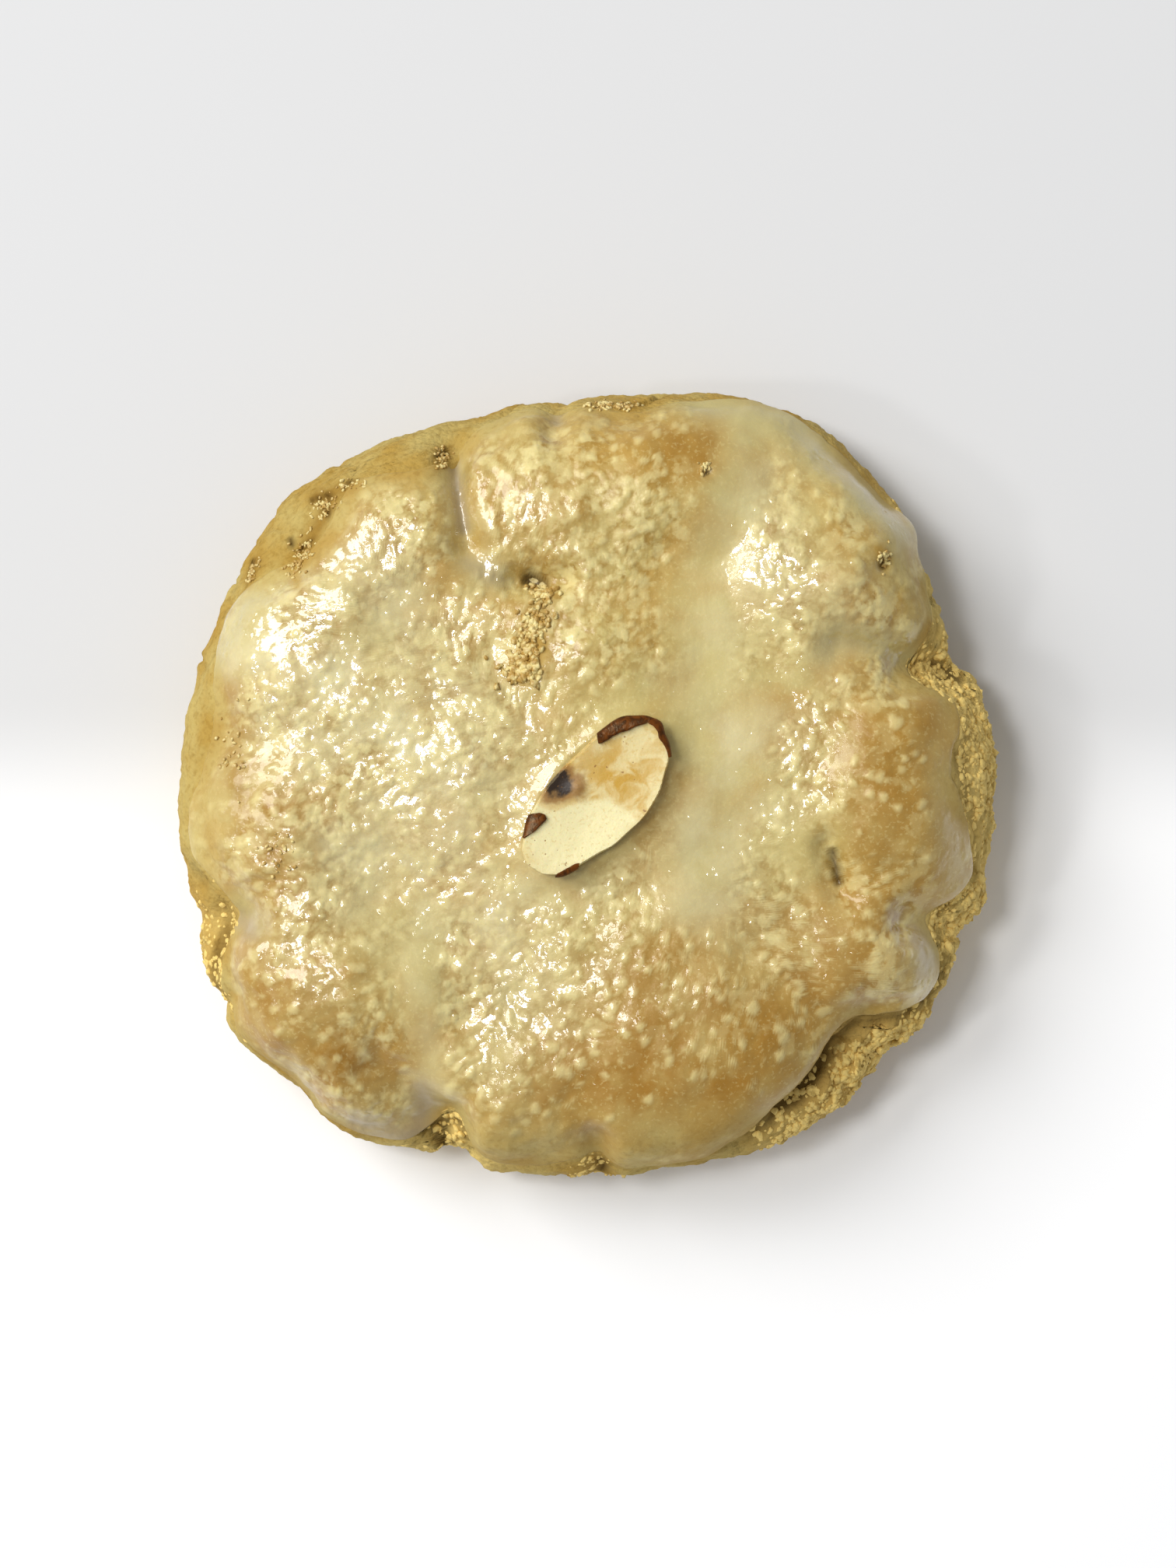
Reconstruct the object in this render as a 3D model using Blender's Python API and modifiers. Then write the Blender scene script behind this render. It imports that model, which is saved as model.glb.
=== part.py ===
"""Round almond cake, poured over with sugar glaze and topped with one flaked almond.

The cake is a dropped round of coarse almond dough: a flat base, sides that bulge at a third of
the height, and a low crown broken into soft lobes with creases between them.  The glaze lies on
the crown and part of the shoulder, and stops at an uneven edge.  One thin slice of almond, skin
still on part of its rim, lies near the middle.

The origin is the centre of the base, +Z is up, and +Y points away from a viewer who stands in
front.  Sizes below are millimetres and degrees; angles run counter-clockwise from +X.
"""

import math

import bmesh
import bpy
from mathutils import Vector, noise

MM = 0.001

# Driving dimensions of the cake's section
CAKE_RADIUS = 47.0
WIDEST_LEVEL = 8.0
SHOULDER_LEVEL = 19.2
SHOULDER_WIDTH = 15.5
BASE_TUCK = 3.6
CROWN_RISE = 2.6

# Driving dimensions of the glaze
GLAZE_THICKNESS = 0.95
GLAZE_GAP = 0.35
GLAZE_INSET = 1.3
THIN_GLAZE_SHARE = 0.55

# Driving dimensions of the almond slice
ALMOND_LENGTH = 21.9
ALMOND_WIDTH = 10.7
ALMOND_THICKNESS = 1.5
ALMOND_CENTRE = (1.1, -1.1)
ALMOND_TURN = 54.0
ALMOND_TAPER = 0.16
ALMOND_DISH = 0.7
ALMOND_TILT = 3.0
ALMOND_CLEARANCE = 0.45
ALMOND_EDGE_ROUNDING = 0.35

# The square sheet that is laid over the cake: rings of quads, counted from the middle outwards
SHEET_RINGS = 28
GLAZED_RINGS = 20
ALMOND_RINGS = 5

# Where the outline stands out from a circle or falls inside it: angle, half-width, amount
OUTLINE_SWELLS = (
    (58, 14, 2.25),
    (84, 10, -1.15),
    (104, 18, -2.55),
    (137, 9, 1.05),
    (190, 12, 0.6),
    (213, 12, 3.25),
    (234, 7, 2.0),
    (262, 8, -1.35),
    (282, 12, -1.8),
    (303, 10, 0.3),
    (324, 10, 0.55),
    (343, 8, 0.7),
    (26, 9, -1.65),
    (42, 7, 0.5),
)

# Cracks that run down the side: angle, half-width, depth
RIM_CRACKS = (
    (19, 3.2, 1.7),
    (35, 2.4, 1.0),
    (94, 2.4, 1.1),
    (199, 2.6, 1.0),
    (211, 2.6, 1.2),
    (250, 3.6, 2.2),
    (271, 2.4, 1.1),
    (318, 2.8, 1.1),
    (338, 2.8, 1.3),
)

# Where the glaze stops short of its usual edge, or runs past it: angle, half-width, extra inset
GLAZE_RETREATS = (
    (5, 8, 3.2),
    (18, 5, 5.2),
    (37, 5, -0.9),
    (66, 8, -0.7),
    (83, 5, 1.4),
    (99, 5, -0.6),
    (118, 8, 4.2),
    (138, 10, 5.2),
    (172, 10, 2.4),
    (199, 6, 4.0),
    (231, 7, -0.6),
    (246, 5, 3.0),
    (270, 4, 1.8),
    (283, 5, -0.4),
    (302, 7, 3.2),
    (316, 9, 6.2),
    (339, 5, 3.6),
    (352, 8, 1.4),
)

# Soft lobes of the crown: x, y, radius, height
LOBES = (
    (-2.0, 33.0, 13.0, 1.9),
    (10.5, 34.5, 10.5, 1.9),
    (-20.5, 31.0, 11.0, 1.9),
    (28.5, 23.5, 13.0, 2.5),
    (35.0, 0.5, 15.0, 2.7),
    (10.5, -28.0, 21.0, 3.0),
    (-30.0, -25.0, 15.0, 2.6),
    (-34.0, -6.0, 12.0, 1.8),
    (-30.0, 15.5, 14.0, 1.7),
    (-19.0, 3.0, 14.0, 1.3),
    (-10.0, -35.0, 9.5, 1.5),
    (31.5, -20.5, 11.0, 1.8),
    (1.0, 17.0, 12.0, 1.1),
)

# Creases between the lobes: start x, y, end x, y, half-width, depth
CREASES = (
    (-15.4, 38.5, -13.7, 27.0, 1.8, 2.0),
    (-3.4, 45.0, -3.9, 39.5, 1.7, 1.6),
    (-8.0, 23.0, -3.0, 23.0, 1.7, 1.7),
    (27.0, -7.0, 28.6, -12.5, 1.6, 1.2),
    (28.5, 15.6, 44.0, 13.0, 2.4, 2.2),
    (36.0, -15.6, 45.0, -16.6, 2.3, 1.6),
    (32.0, -25.5, 29.0, -31.5, 2.3, 1.6),
    (29.0, -31.5, 17.0, -41.5, 2.3, 2.0),
    (-23.5, -32.0, -17.5, -38.5, 3.2, 2.0),
    (-17.5, -38.5, -16.0, -44.0, 3.2, 2.2),
    (1.2, -40.0, 1.4, -44.5, 1.7, 1.7),
    (-42.5, -16.0, -40.5, -24.0, 1.8, 1.5),
    (-39.5, -15.5, -37.0, -15.8, 1.9, 1.2),
    (-31.5, 30.0, -33.5, 23.0, 2.2, 0.9),
)

# Slow unevenness of the crown, and the coarser crumb of the side: wavelength, depth
CROWN_UNEVENNESS = (9.0, 0.45)
SIDE_CRUMB = (4.5, 0.55)

# How far a rim crack strays to either side on its way down: wavelength, turn
CRACK_WANDER = (5.0, 3.0)

# The almond lies on a levelled patch of the crown
SEAT_RADIUS = 8.0
SEAT_FADE = 8.0

CAKE_COLOUR = (0.56, 0.40, 0.15, 1.0)
GLAZE_COLOUR = (0.66, 0.57, 0.29, 1.0)
ALMOND_COLOUR = (0.82, 0.68, 0.36, 1.0)


def hump(offset, half_width):
    """1 at no offset, fading smoothly to 0 over a little more than the half-width."""
    return math.exp(-((offset / half_width) ** 2))


def turn_between(angle, other):
    """The signed turn from one angle to another, in degrees, from -180 to 180."""
    return (angle - other + 180.0) % 360.0 - 180.0


def smooth_step(value, low, high):
    """0 below low, 1 above high, and smooth between them."""
    share = min(1.0, max(0.0, (value - low) / (high - low)))
    return share * share * (3.0 - 2.0 * share)


def outline_radius(angle):
    """The cake's radius at its widest level."""
    swells = sum(
        amount * hump(turn_between(angle, centre), half_width)
        for centre, half_width, amount in OUTLINE_SWELLS
    )
    return CAKE_RADIUS + swells


def section_lengths(angle):
    """The lengths of the crown, the shoulder and the tucked-in side, along the surface."""
    crown = outline_radius(angle) - SHOULDER_WIDTH
    shoulder = math.pi / 2 * math.hypot(SHOULDER_WIDTH, SHOULDER_LEVEL - WIDEST_LEVEL) / math.sqrt(2)
    side = math.pi / 2 * math.hypot(BASE_TUCK, WIDEST_LEVEL) / math.sqrt(2)
    return crown, shoulder, side


def section_point(angle, along):
    """Radius and height of the plain section, at a distance along it from the middle of the crown."""
    crown, shoulder, side = section_lengths(angle)
    if along < crown:
        share = along / crown
        return along, SHOULDER_LEVEL + CROWN_RISE * (1.0 - share * share) ** 2
    if along < crown + shoulder:
        climb = math.pi / 2 * (1.0 - (along - crown) / shoulder)
        width, rise = SHOULDER_WIDTH, SHOULDER_LEVEL - WIDEST_LEVEL
    else:
        climb = -math.pi / 2 * min(1.0, (along - crown - shoulder) / side)
        width, rise = BASE_TUCK, WIDEST_LEVEL
    radius = outline_radius(angle) - width * (1.0 - math.cos(climb))
    return radius, WIDEST_LEVEL + rise * math.sin(climb)


def glaze_reach(angle):
    """How far the glaze runs along the section before it stops."""
    inset = GLAZE_INSET + sum(
        extra * hump(turn_between(angle, centre), half_width)
        for centre, half_width, extra in GLAZE_RETREATS
    )
    crown, shoulder, _ = section_lengths(angle)
    climb = math.acos(max(0.0, 1.0 - inset / SHOULDER_WIDTH))
    return crown + shoulder * (1.0 - climb / (math.pi / 2))


def distance_to_crease(x, y, crease):
    """The distance in plan from a point to a crease's line."""
    start_x, start_y, end_x, end_y = crease[:4]
    run_x, run_y = end_x - start_x, end_y - start_y
    share = ((x - start_x) * run_x + (y - start_y) * run_y) / (run_x**2 + run_y**2)
    share = min(1.0, max(0.0, share))
    return math.hypot(x - start_x - share * run_x, y - start_y - share * run_y)


def crown_relief(x, y):
    """How far the lobes and creases lift the crown at a point in plan."""
    lobes = sum(
        height * max(0.0, 1.0 - ((x - at_x) ** 2 + (y - at_y) ** 2) / radius**2) ** 1.5
        for at_x, at_y, radius, height in LOBES
    )
    creases = sum(
        depth * hump(distance_to_crease(x, y, (*line, half_width, depth)), half_width)
        for *line, half_width, depth in CREASES
    )
    wavelength, depth = CROWN_UNEVENNESS
    uneven = depth * noise.noise(Vector((x, y, 0.0)) / wavelength)
    off_seat = math.hypot(x - ALMOND_CENTRE[0], y - ALMOND_CENTRE[1])
    return (lobes + uneven) * smooth_step(off_seat, SEAT_RADIUS, SEAT_RADIUS + SEAT_FADE) - creases


def side_relief(angle, point):
    """How far the crumb and the rim cracks move the side, where the point is on the plain section."""
    wavelength, depth = SIDE_CRUMB
    crumb = depth * noise.noise(point / wavelength)
    stray_wavelength, stray = CRACK_WANDER
    cracks = 0.0
    for centre, half_width, crack_depth in RIM_CRACKS:
        course = centre + stray * noise.noise(Vector((centre, 0.0, point.z / stray_wavelength)))
        cracks += crack_depth * hump(turn_between(angle, course), half_width)
    return crumb - cracks


def surface_point(angle, along, lift=0.0):
    """A point of the cake's surface, lifted off it along the plain section's own normal."""
    around = math.radians(angle)
    radius, height = section_point(angle, along)
    step = 0.05
    ahead = section_point(angle, along + step)
    behind = section_point(angle, max(0.0, along - step))
    run, drop = ahead[0] - behind[0], behind[1] - ahead[1]
    length = math.hypot(run, drop)
    outwards, upwards = drop / length, run / length
    plain = Vector((radius * math.cos(around), radius * math.sin(around), height))
    on_crown = smooth_step(height, WIDEST_LEVEL, SHOULDER_LEVEL - 1.5)
    off_base = smooth_step(height, 0.0, WIDEST_LEVEL * 0.6)
    moved = (
        crown_relief(plain.x, plain.y) * on_crown
        + side_relief(angle, plain) * off_base * (1.0 - 0.7 * on_crown)
        + lift
    )
    normal = Vector((outwards * math.cos(around), outwards * math.sin(around), upwards))
    return plain + normal * moved


def polar_of(u, v):
    """The angle and ring share of a point of the square sheet, whose rings become circles."""
    ring = max(abs(u), abs(v))
    if ring == 0.0:
        return 0.0, 0.0
    if abs(u) >= abs(v):
        angle = 45.0 * v / u + (0.0 if u > 0 else 180.0)
    else:
        angle = (90.0 if v > 0 else 270.0) - 45.0 * u / v
    return angle % 360.0, ring


def sheet_along(angle, ring):
    """The distance along the section of a ring of the sheet: the glazed rings end at the glaze's edge."""
    glazed_share = GLAZED_RINGS / SHEET_RINGS
    if ring <= glazed_share:
        return glaze_reach(angle) * ring / glazed_share
    beyond = (ring - glazed_share) / (1.0 - glazed_share)
    return glaze_reach(angle) + (sum(section_lengths(angle)) - glaze_reach(angle)) * beyond


def square_sheet(rings):
    """A flat square sheet with that many rings of quads round its middle, from -1 to 1."""
    sheet = bmesh.new()
    bmesh.ops.create_grid(sheet, x_segments=2 * rings, y_segments=2 * rings, size=1.0)
    return sheet


def plain_material(name, colour, roughness):
    """A material with one colour and roughness."""
    material = bpy.data.materials.new(name)
    material.use_nodes = True
    shader = material.node_tree.nodes["Principled BSDF"]
    shader.inputs["Base Color"].default_value = colour
    shader.inputs["Roughness"].default_value = roughness
    shader.inputs["Metallic"].default_value = 0.0
    return material


def object_from(sheet, name, collection, material):
    """Turns the working mesh into a named, smooth-shaded object."""
    mesh = bpy.data.meshes.new(name)
    sheet.to_mesh(mesh)
    sheet.free()
    mesh.materials.append(material)
    mesh.shade_smooth()
    made = bpy.data.objects.new(name, mesh)
    collection.objects.link(made)
    return made


def make_cake(collection):
    """The almond cake: the whole sheet laid over the section, closed by the flat base."""
    sheet = square_sheet(SHEET_RINGS)
    for vertex in sheet.verts:
        angle, ring = polar_of(vertex.co.x, vertex.co.y)
        vertex.co = surface_point(angle, sheet_along(angle, ring)) * MM
    for vertex in {v for edge in sheet.edges if edge.is_boundary for v in edge.verts}:
        vertex.co.z = 0.0
    bmesh.ops.holes_fill(sheet, edges=[edge for edge in sheet.edges if edge.is_boundary])
    bmesh.ops.recalc_face_normals(sheet, faces=sheet.faces)
    bmesh.ops.triangulate(sheet, faces=[face for face in sheet.faces if len(face.verts) == 4])
    cake = object_from(sheet, "cake", collection, plain_material("baked_dough", CAKE_COLOUR, 0.75))
    cake.data.set_sharp_from_angle(angle=math.radians(60))
    return cake


def make_glaze(collection):
    """The glaze: the sheet's inner rings, laid just clear of the cake and given their thickness."""
    sheet = square_sheet(GLAZED_RINGS)
    shares = []
    for vertex in sheet.verts:
        angle, ring = polar_of(vertex.co.x, vertex.co.y)
        along = sheet_along(angle, ring * GLAZED_RINGS / SHEET_RINGS)
        vertex.co = surface_point(angle, along, lift=GLAZE_GAP) * MM
        shares.append(1.0 - (1.0 - THIN_GLAZE_SHARE) * smooth_step(ring, 0.8, 1.0))
    bmesh.ops.triangulate(sheet, faces=sheet.faces)
    glaze = object_from(sheet, "glaze", collection, plain_material("sugar_glaze", GLAZE_COLOUR, 0.2))
    film = glaze.vertex_groups.new(name="film")
    for index, share in enumerate(shares):
        film.add([index], share, "REPLACE")
    shell = glaze.modifiers.new("thickness", "SOLIDIFY")
    shell.thickness = GLAZE_THICKNESS * MM
    shell.offset = 1.0
    shell.vertex_group = "film"
    return glaze


def almond_outline(angle):
    """Half-length and half-width offsets of the slice's egg-shaped rim, with the broad end at +X."""
    x = ALMOND_LENGTH / 2 * math.cos(angle)
    y = ALMOND_WIDTH / 2 * math.sin(angle) * (1.0 + ALMOND_TAPER * math.cos(angle))
    return x, y


def almond_level():
    """The height of the slice's underside at its middle, clear of the glaze below."""
    top_of_glaze = SHOULDER_LEVEL + CROWN_RISE + GLAZE_GAP + GLAZE_THICKNESS
    return top_of_glaze + ALMOND_CLEARANCE


def make_almond(collection):
    """The flaked almond: an egg-shaped slice, slightly dished and tilted, with a softened rim."""
    sheet = square_sheet(ALMOND_RINGS)
    for vertex in sheet.verts:
        angle, ring = polar_of(vertex.co.x, vertex.co.y)
        x, y = almond_outline(math.radians(angle))
        lift = ALMOND_DISH * ring * ring * (0.6 + 0.4 * abs(math.cos(math.radians(angle))))
        vertex.co = Vector((x * ring, y * ring, lift)) * MM
    almond = object_from(
        sheet, "almond_slice", collection, plain_material("almond_flesh", ALMOND_COLOUR, 0.5)
    )
    slab = almond.modifiers.new("thickness", "SOLIDIFY")
    slab.thickness = ALMOND_THICKNESS * MM
    slab.offset = 1.0
    rim = almond.modifiers.new("soft_rim", "BEVEL")
    rim.width = ALMOND_EDGE_ROUNDING * MM
    rim.segments = 1
    rim.limit_method = "ANGLE"
    rim.angle_limit = math.radians(50)
    almond.rotation_euler = (math.radians(ALMOND_TILT), 0.0, math.radians(ALMOND_TURN))
    almond.location = Vector((*ALMOND_CENTRE, almond_level())) * MM
    return almond


def clear_scene():
    """Removes whatever the scene holds."""
    for existing in list(bpy.data.objects):
        bpy.data.objects.remove(existing)


def main():
    """Makes the three pieces in one collection."""
    clear_scene()
    collection = bpy.data.collections.new("almond_cake")
    bpy.context.scene.collection.children.link(collection)
    make_cake(collection)
    make_glaze(collection)
    make_almond(collection)


main()
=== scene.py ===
"""Looks of the round glazed almond cake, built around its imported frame.

The cake was made by dropping one round of coarse almond dough on a tray.  It spread into soft lobes,
cracked along its rim, and browned on top of the lobes and round its foot.  Sugar glaze was poured on
while it was warm: it fills the valleys, stays thin and grainy over the lobes, and stops in a lip or a
drip short of the rim.  One toasted almond flake lies in the hollow near the middle.

Sizes are millimetres and degrees, angles run counter-clockwise from +X, and a mesh gets metres.  Places
in plan are measured from the cake's middle, +Y away from a viewer who stands in front.
"""

from __future__ import annotations

import logging
import math
import random
from contextlib import contextmanager
from dataclasses import dataclass
from enum import Enum
from typing import Iterator, NamedTuple, Sequence

import bpy
import numpy as np
from mathutils import Matrix, Vector, noise
from mathutils.bvhtree import BVHTree
from mathutils.kdtree import KDTree


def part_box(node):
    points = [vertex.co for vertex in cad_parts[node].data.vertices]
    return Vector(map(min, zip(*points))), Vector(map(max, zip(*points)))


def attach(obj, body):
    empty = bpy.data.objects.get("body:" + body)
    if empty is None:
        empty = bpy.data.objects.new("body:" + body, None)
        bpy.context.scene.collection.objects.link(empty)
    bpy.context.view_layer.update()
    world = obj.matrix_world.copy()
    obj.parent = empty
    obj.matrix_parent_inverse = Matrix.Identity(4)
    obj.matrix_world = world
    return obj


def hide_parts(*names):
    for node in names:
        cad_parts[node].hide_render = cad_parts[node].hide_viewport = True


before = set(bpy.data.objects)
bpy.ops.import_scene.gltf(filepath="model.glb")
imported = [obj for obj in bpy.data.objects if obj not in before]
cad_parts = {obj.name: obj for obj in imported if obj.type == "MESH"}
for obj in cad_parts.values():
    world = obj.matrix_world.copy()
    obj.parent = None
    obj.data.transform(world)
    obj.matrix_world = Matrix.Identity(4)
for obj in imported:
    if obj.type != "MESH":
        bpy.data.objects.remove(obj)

MM = 0.001
BODY = "root"
LOG = logging.getLogger("almond_cake")
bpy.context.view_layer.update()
ALMOND_CENTRE = (1.0, -1.4)
ALMOND_TURN = 48.2

Array = np.ndarray
Piece = bpy.types.Object
Socket = bpy.types.NodeSocket


class Swell(NamedTuple):
    """A smooth rise or fall round the rim: where it is, how wide, and how much."""

    angle: float
    half_width: float
    amount: float


class Lobe(NamedTuple):
    """A soft lobe of the crown in plan."""

    x: float
    y: float
    radius: float
    height: float


class Crease(NamedTuple):
    """A groove of the crown, from its start to its end in plan."""

    start_x: float
    start_y: float
    end_x: float
    end_y: float
    half_width: float
    depth: float


class Patch(NamedTuple):
    """A soft-edged spot or streak in plan, round where both ends are one point."""

    start_x: float
    start_y: float
    end_x: float
    end_y: float
    half_width: float
    strength: float


class Mark(Enum):
    """The painted masks that the finishes read from a mesh."""

    # Toasted browning; on the dough's side it also carries painted shade.
    TOAST = "toast"
    MILK = "milk"
    GRAIN = "grain"
    SAND = "sand"
    BEAD = "bead"
    DRY = "dry"
    CRUMB = "crumb"
    # The almond's burnt spot, and painted shade in the dough's crevices and pits and in the glaze's holes.
    CHAR = "char"
    # Paler glaze, laid on more strongly as painted light where the lamps fall.
    PALE = "pale"
    WET = "wet"
    POOL = "pool"


class Relief(Enum):
    """The procedural textures that roughen a surface."""

    GRAINS = "VORONOI"
    LUMPS = "CLOUDS"


class Roughness(NamedTuple):
    """One layer of roughness: its texture, the size of its lumps, its depth and the mask it follows."""

    relief: Relief
    grain: float
    depth: float
    share: str


def hump(offset: Array, half_width: float) -> Array:
    """Fades smoothly from 1 at no offset to 0.

    Args:
        offset: Distances from the middle.
        half_width: The distance at which a third is left.

    Returns:
        The share that is left at each offset.
    """
    return np.exp(-((offset / half_width) ** 2))


def turn_between(angle: Array, other: float) -> Array:
    """Gives the signed turn from one angle to others, in degrees.

    Args:
        angle: The angles to reach.
        other: The angle to start from.

    Returns:
        Turns from -180 to 180.
    """
    return (angle - other + 180.0) % 360.0 - 180.0


def smooth_step(value: Array, low: float, high: float) -> Array:
    """Rises smoothly from 0 at low to 1 at high.

    Args:
        value: The values to read.
        low: Where the rise starts.
        high: Where the rise ends.

    Returns:
        A share from 0 to 1 for each value.
    """
    share = np.clip((value - low) / (high - low), 0.0, 1.0)
    return share * share * (3.0 - 2.0 * share)


def swell_sum(angle: Array, swells: Sequence[Swell]) -> Array:
    """Adds up what a list of swells gives at some angles.

    Args:
        angle: The angles, in degrees.
        swells: The swells to add.

    Returns:
        The total at each angle.
    """
    total = np.zeros_like(angle)
    for swell in swells:
        total += swell.amount * hump(turn_between(angle, swell.angle), swell.half_width)
    return total


def distance_to_line(x: Array, y: Array, ends: Sequence[float]) -> Array:
    """Measures how far points lie from a straight stroke in plan.

    Args:
        x: The points' first coordinate.
        y: The points' second coordinate.
        ends: The stroke's start and end, as four numbers.

    Returns:
        The distance from each point.
    """
    start_x, start_y, end_x, end_y = ends[:4]
    run_x, run_y = end_x - start_x, end_y - start_y
    length = max(run_x**2 + run_y**2, 1e-9)
    share = np.clip(((x - start_x) * run_x + (y - start_y) * run_y) / length, 0.0, 1.0)
    return np.hypot(x - start_x - share * run_x, y - start_y - share * run_y)


def patch_mask(x: Array, y: Array, patches: Sequence[Patch]) -> Array:
    """Paints soft patches in plan, each over the others.

    Args:
        x: The points' first coordinate.
        y: The points' second coordinate.
        patches: The patches to paint.

    Returns:
        A mask from 0 to 1.
    """
    left = np.ones_like(x)
    for patch in patches:
        near = hump(distance_to_line(x, y, patch), patch.half_width)
        left *= 1.0 - np.clip(patch.strength * near, 0.0, 1.0)
    return 1.0 - left


def noise_at(points: Array, wavelength: float) -> Array:
    """Reads smooth noise at points in space.

    Args:
        points: One row of three coordinates for each point.
        wavelength: The size of the noise's lumps, in the points' unit.

    Returns:
        A value from about -1 to 1 for each point.
    """
    rows = (points / wavelength).tolist()
    return np.fromiter((noise.noise(row) for row in rows), float, len(rows))


def rows_at(x: Array, y: Array, level: float) -> Array:
    """Sets points in plan at one level, one row of three coordinates each."""
    return np.column_stack((x, y, np.full_like(x, level)))


SANDY: tuple[Patch, ...] = (
    Patch(-31.3, 32.7, -26.5, 34, 0.9, 0.8),
    Patch(-29.7, 31.4, -32.6, 26, 1.1, 0.8),
    Patch(-33.4, 24.4, -33, 22.6, 0.9, 0.7),
    Patch(-38, 25.6, -38.8, 23, 0.6, 0.8),
    Patch(-5, 21.8, -6.8, 12, 1.7, 0.75),
    Patch(-8.2, 12.4, -5.6, 15, 1.9, 0.6),
    Patch(-16.2, 37.8, -17.2, 36.4, 0.9, 0.8),
    Patch(0.3, 43.6, 5.4, 43.2, 0.9, 0.6),
    Patch(33.4, 24.8, 33, 26.4, 0.8, 0.8),
)
"""The bare sandy patches, some in the glaze and some in the crust beyond it."""


class Bench:
    """The few modelling steps that every piece is made with."""

    GRAIN_LEVEL = 0.35
    LUMP_LEVEL = 0.5
    LEAST_SHARE = 0.002

    @staticmethod
    def pick(piece: Piece) -> None:
        """Selects one object alone and makes it the active one.

        Args:
            piece: The object to select.
        """
        bpy.ops.object.select_all(action="DESELECT")
        piece.select_set(True)
        bpy.context.view_layer.objects.active = piece

    @staticmethod
    @contextmanager
    def editing(piece: Piece, select: str = "DESELECT") -> Iterator[None]:
        """Opens a piece in edit mode and closes it again.

        Args:
            piece: The mesh to edit.
            select: What is selected at the start: SELECT or DESELECT.

        Yields:
            Nothing; the piece is open meanwhile.
        """
        Bench.pick(piece)
        bpy.ops.object.mode_set(mode="EDIT")
        bpy.ops.mesh.select_all(action=select)
        yield
        bpy.ops.object.mode_set(mode="OBJECT")

    @staticmethod
    def grid(name: str, columns: int, rows: int) -> Piece:
        """Adds a flat square sheet of quads from -1 to 1.

        Args:
            name: The object's name.
            columns: How many quads lie across it.
            rows: How many quads lie along it.

        Returns:
            The new object.
        """
        bpy.ops.object.select_all(action="DESELECT")
        bpy.ops.mesh.primitive_grid_add(x_subdivisions=columns, y_subdivisions=rows, size=2.0)
        made = bpy.context.active_object
        made.name = name
        made.data.name = name
        return made

    @staticmethod
    def sheet(name: str, rings: int) -> Piece:
        """Adds a flat square sheet with rings of quads round its middle."""
        return Bench.grid(name, 2 * rings, 2 * rings)

    @staticmethod
    def points(piece: Piece) -> Array:
        """Reads a piece's vertices, in metres.

        Args:
            piece: The mesh to read.

        Returns:
            One row of three coordinates for each vertex.
        """
        flat = np.empty(len(piece.data.vertices) * 3)
        piece.data.vertices.foreach_get("co", flat)
        return flat.reshape(-1, 3)

    @staticmethod
    def place(piece: Piece, points: Array) -> None:
        """Moves a piece's vertices to places given in metres."""
        piece.data.vertices.foreach_set("co", np.ascontiguousarray(points, float).ravel())
        piece.data.update()

    @staticmethod
    def paint(piece: Piece, mark: Mark, values: Array) -> None:
        """Writes a mask on a piece's vertices for its finish to read."""
        layer = piece.data.attributes.new(mark.value, "FLOAT", "POINT")
        layer.data.foreach_set("value", np.clip(values, 0.0, 1.0).astype(np.float32))

    @staticmethod
    def weigh(piece: Piece, name: str, values: Array) -> None:
        """Writes a vertex group, which says how strongly a layer of roughness acts.

        Args:
            piece: The mesh to weigh.
            name: The mask's name.
            values: A share from 0 to 1 for each vertex.
        """
        group = piece.vertex_groups.new(name=name + "_share")
        for index, value in enumerate(np.clip(values, 0.0, 1.0).tolist()):
            if value > Bench.LEAST_SHARE:
                group.add([index], value, "REPLACE")

    @staticmethod
    def roughen(piece: Piece, layers: Sequence[Roughness]) -> None:
        """Displaces a piece by layers of procedural texture and applies each in turn.

        Args:
            piece: The mesh to roughen.
            layers: The layers, the first applied first.
        """
        Bench.pick(piece)
        for layer in layers:
            grains = layer.relief is Relief.GRAINS
            texture = bpy.data.textures.new("relief", layer.relief.value)
            texture.noise_scale = layer.grain * MM
            if not grains:
                texture.noise_depth = 2
                texture.noise_type = "SOFT_NOISE"
            relief = piece.modifiers.new("relief", "DISPLACE")
            relief.texture = texture
            relief.texture_coords = "LOCAL"
            relief.strength = (-layer.depth if grains else layer.depth) * MM
            relief.mid_level = Bench.GRAIN_LEVEL if grains else Bench.LUMP_LEVEL
            relief.vertex_group = layer.share + "_share"
            bpy.ops.object.modifier_apply(modifier=relief.name)
            bpy.data.textures.remove(texture)

    @staticmethod
    def close_with(main: Piece, lid: Piece) -> None:
        """Joins a coarser sheet to a piece and bridges their two rims into one closed skin.

        Args:
            main: The piece with one open rim.
            lid: The sheet that closes it.
        """
        Bench.pick(main)
        lid.select_set(True)
        bpy.ops.object.join()
        with Bench.editing(main):
            bpy.ops.mesh.select_mode(type="EDGE")
            bpy.ops.mesh.select_non_manifold(
                extend=False,
                use_wire=False,
                use_boundary=True,
                use_multi_face=False,
                use_non_contiguous=False,
                use_verts=False,
            )
            bpy.ops.mesh.bridge_edge_loops()
            bpy.ops.mesh.select_all(action="SELECT")
            bpy.ops.mesh.normals_make_consistent(inside=False)

    @staticmethod
    def dress(piece: Piece, finish: bpy.types.Material) -> None:
        """Shades a piece smooth and gives it its finish.

        Args:
            piece: The piece to dress.
            finish: The material that it gets.
        """
        Bench.pick(piece)
        bpy.ops.object.shade_smooth()
        piece.data.materials.append(finish)


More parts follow.
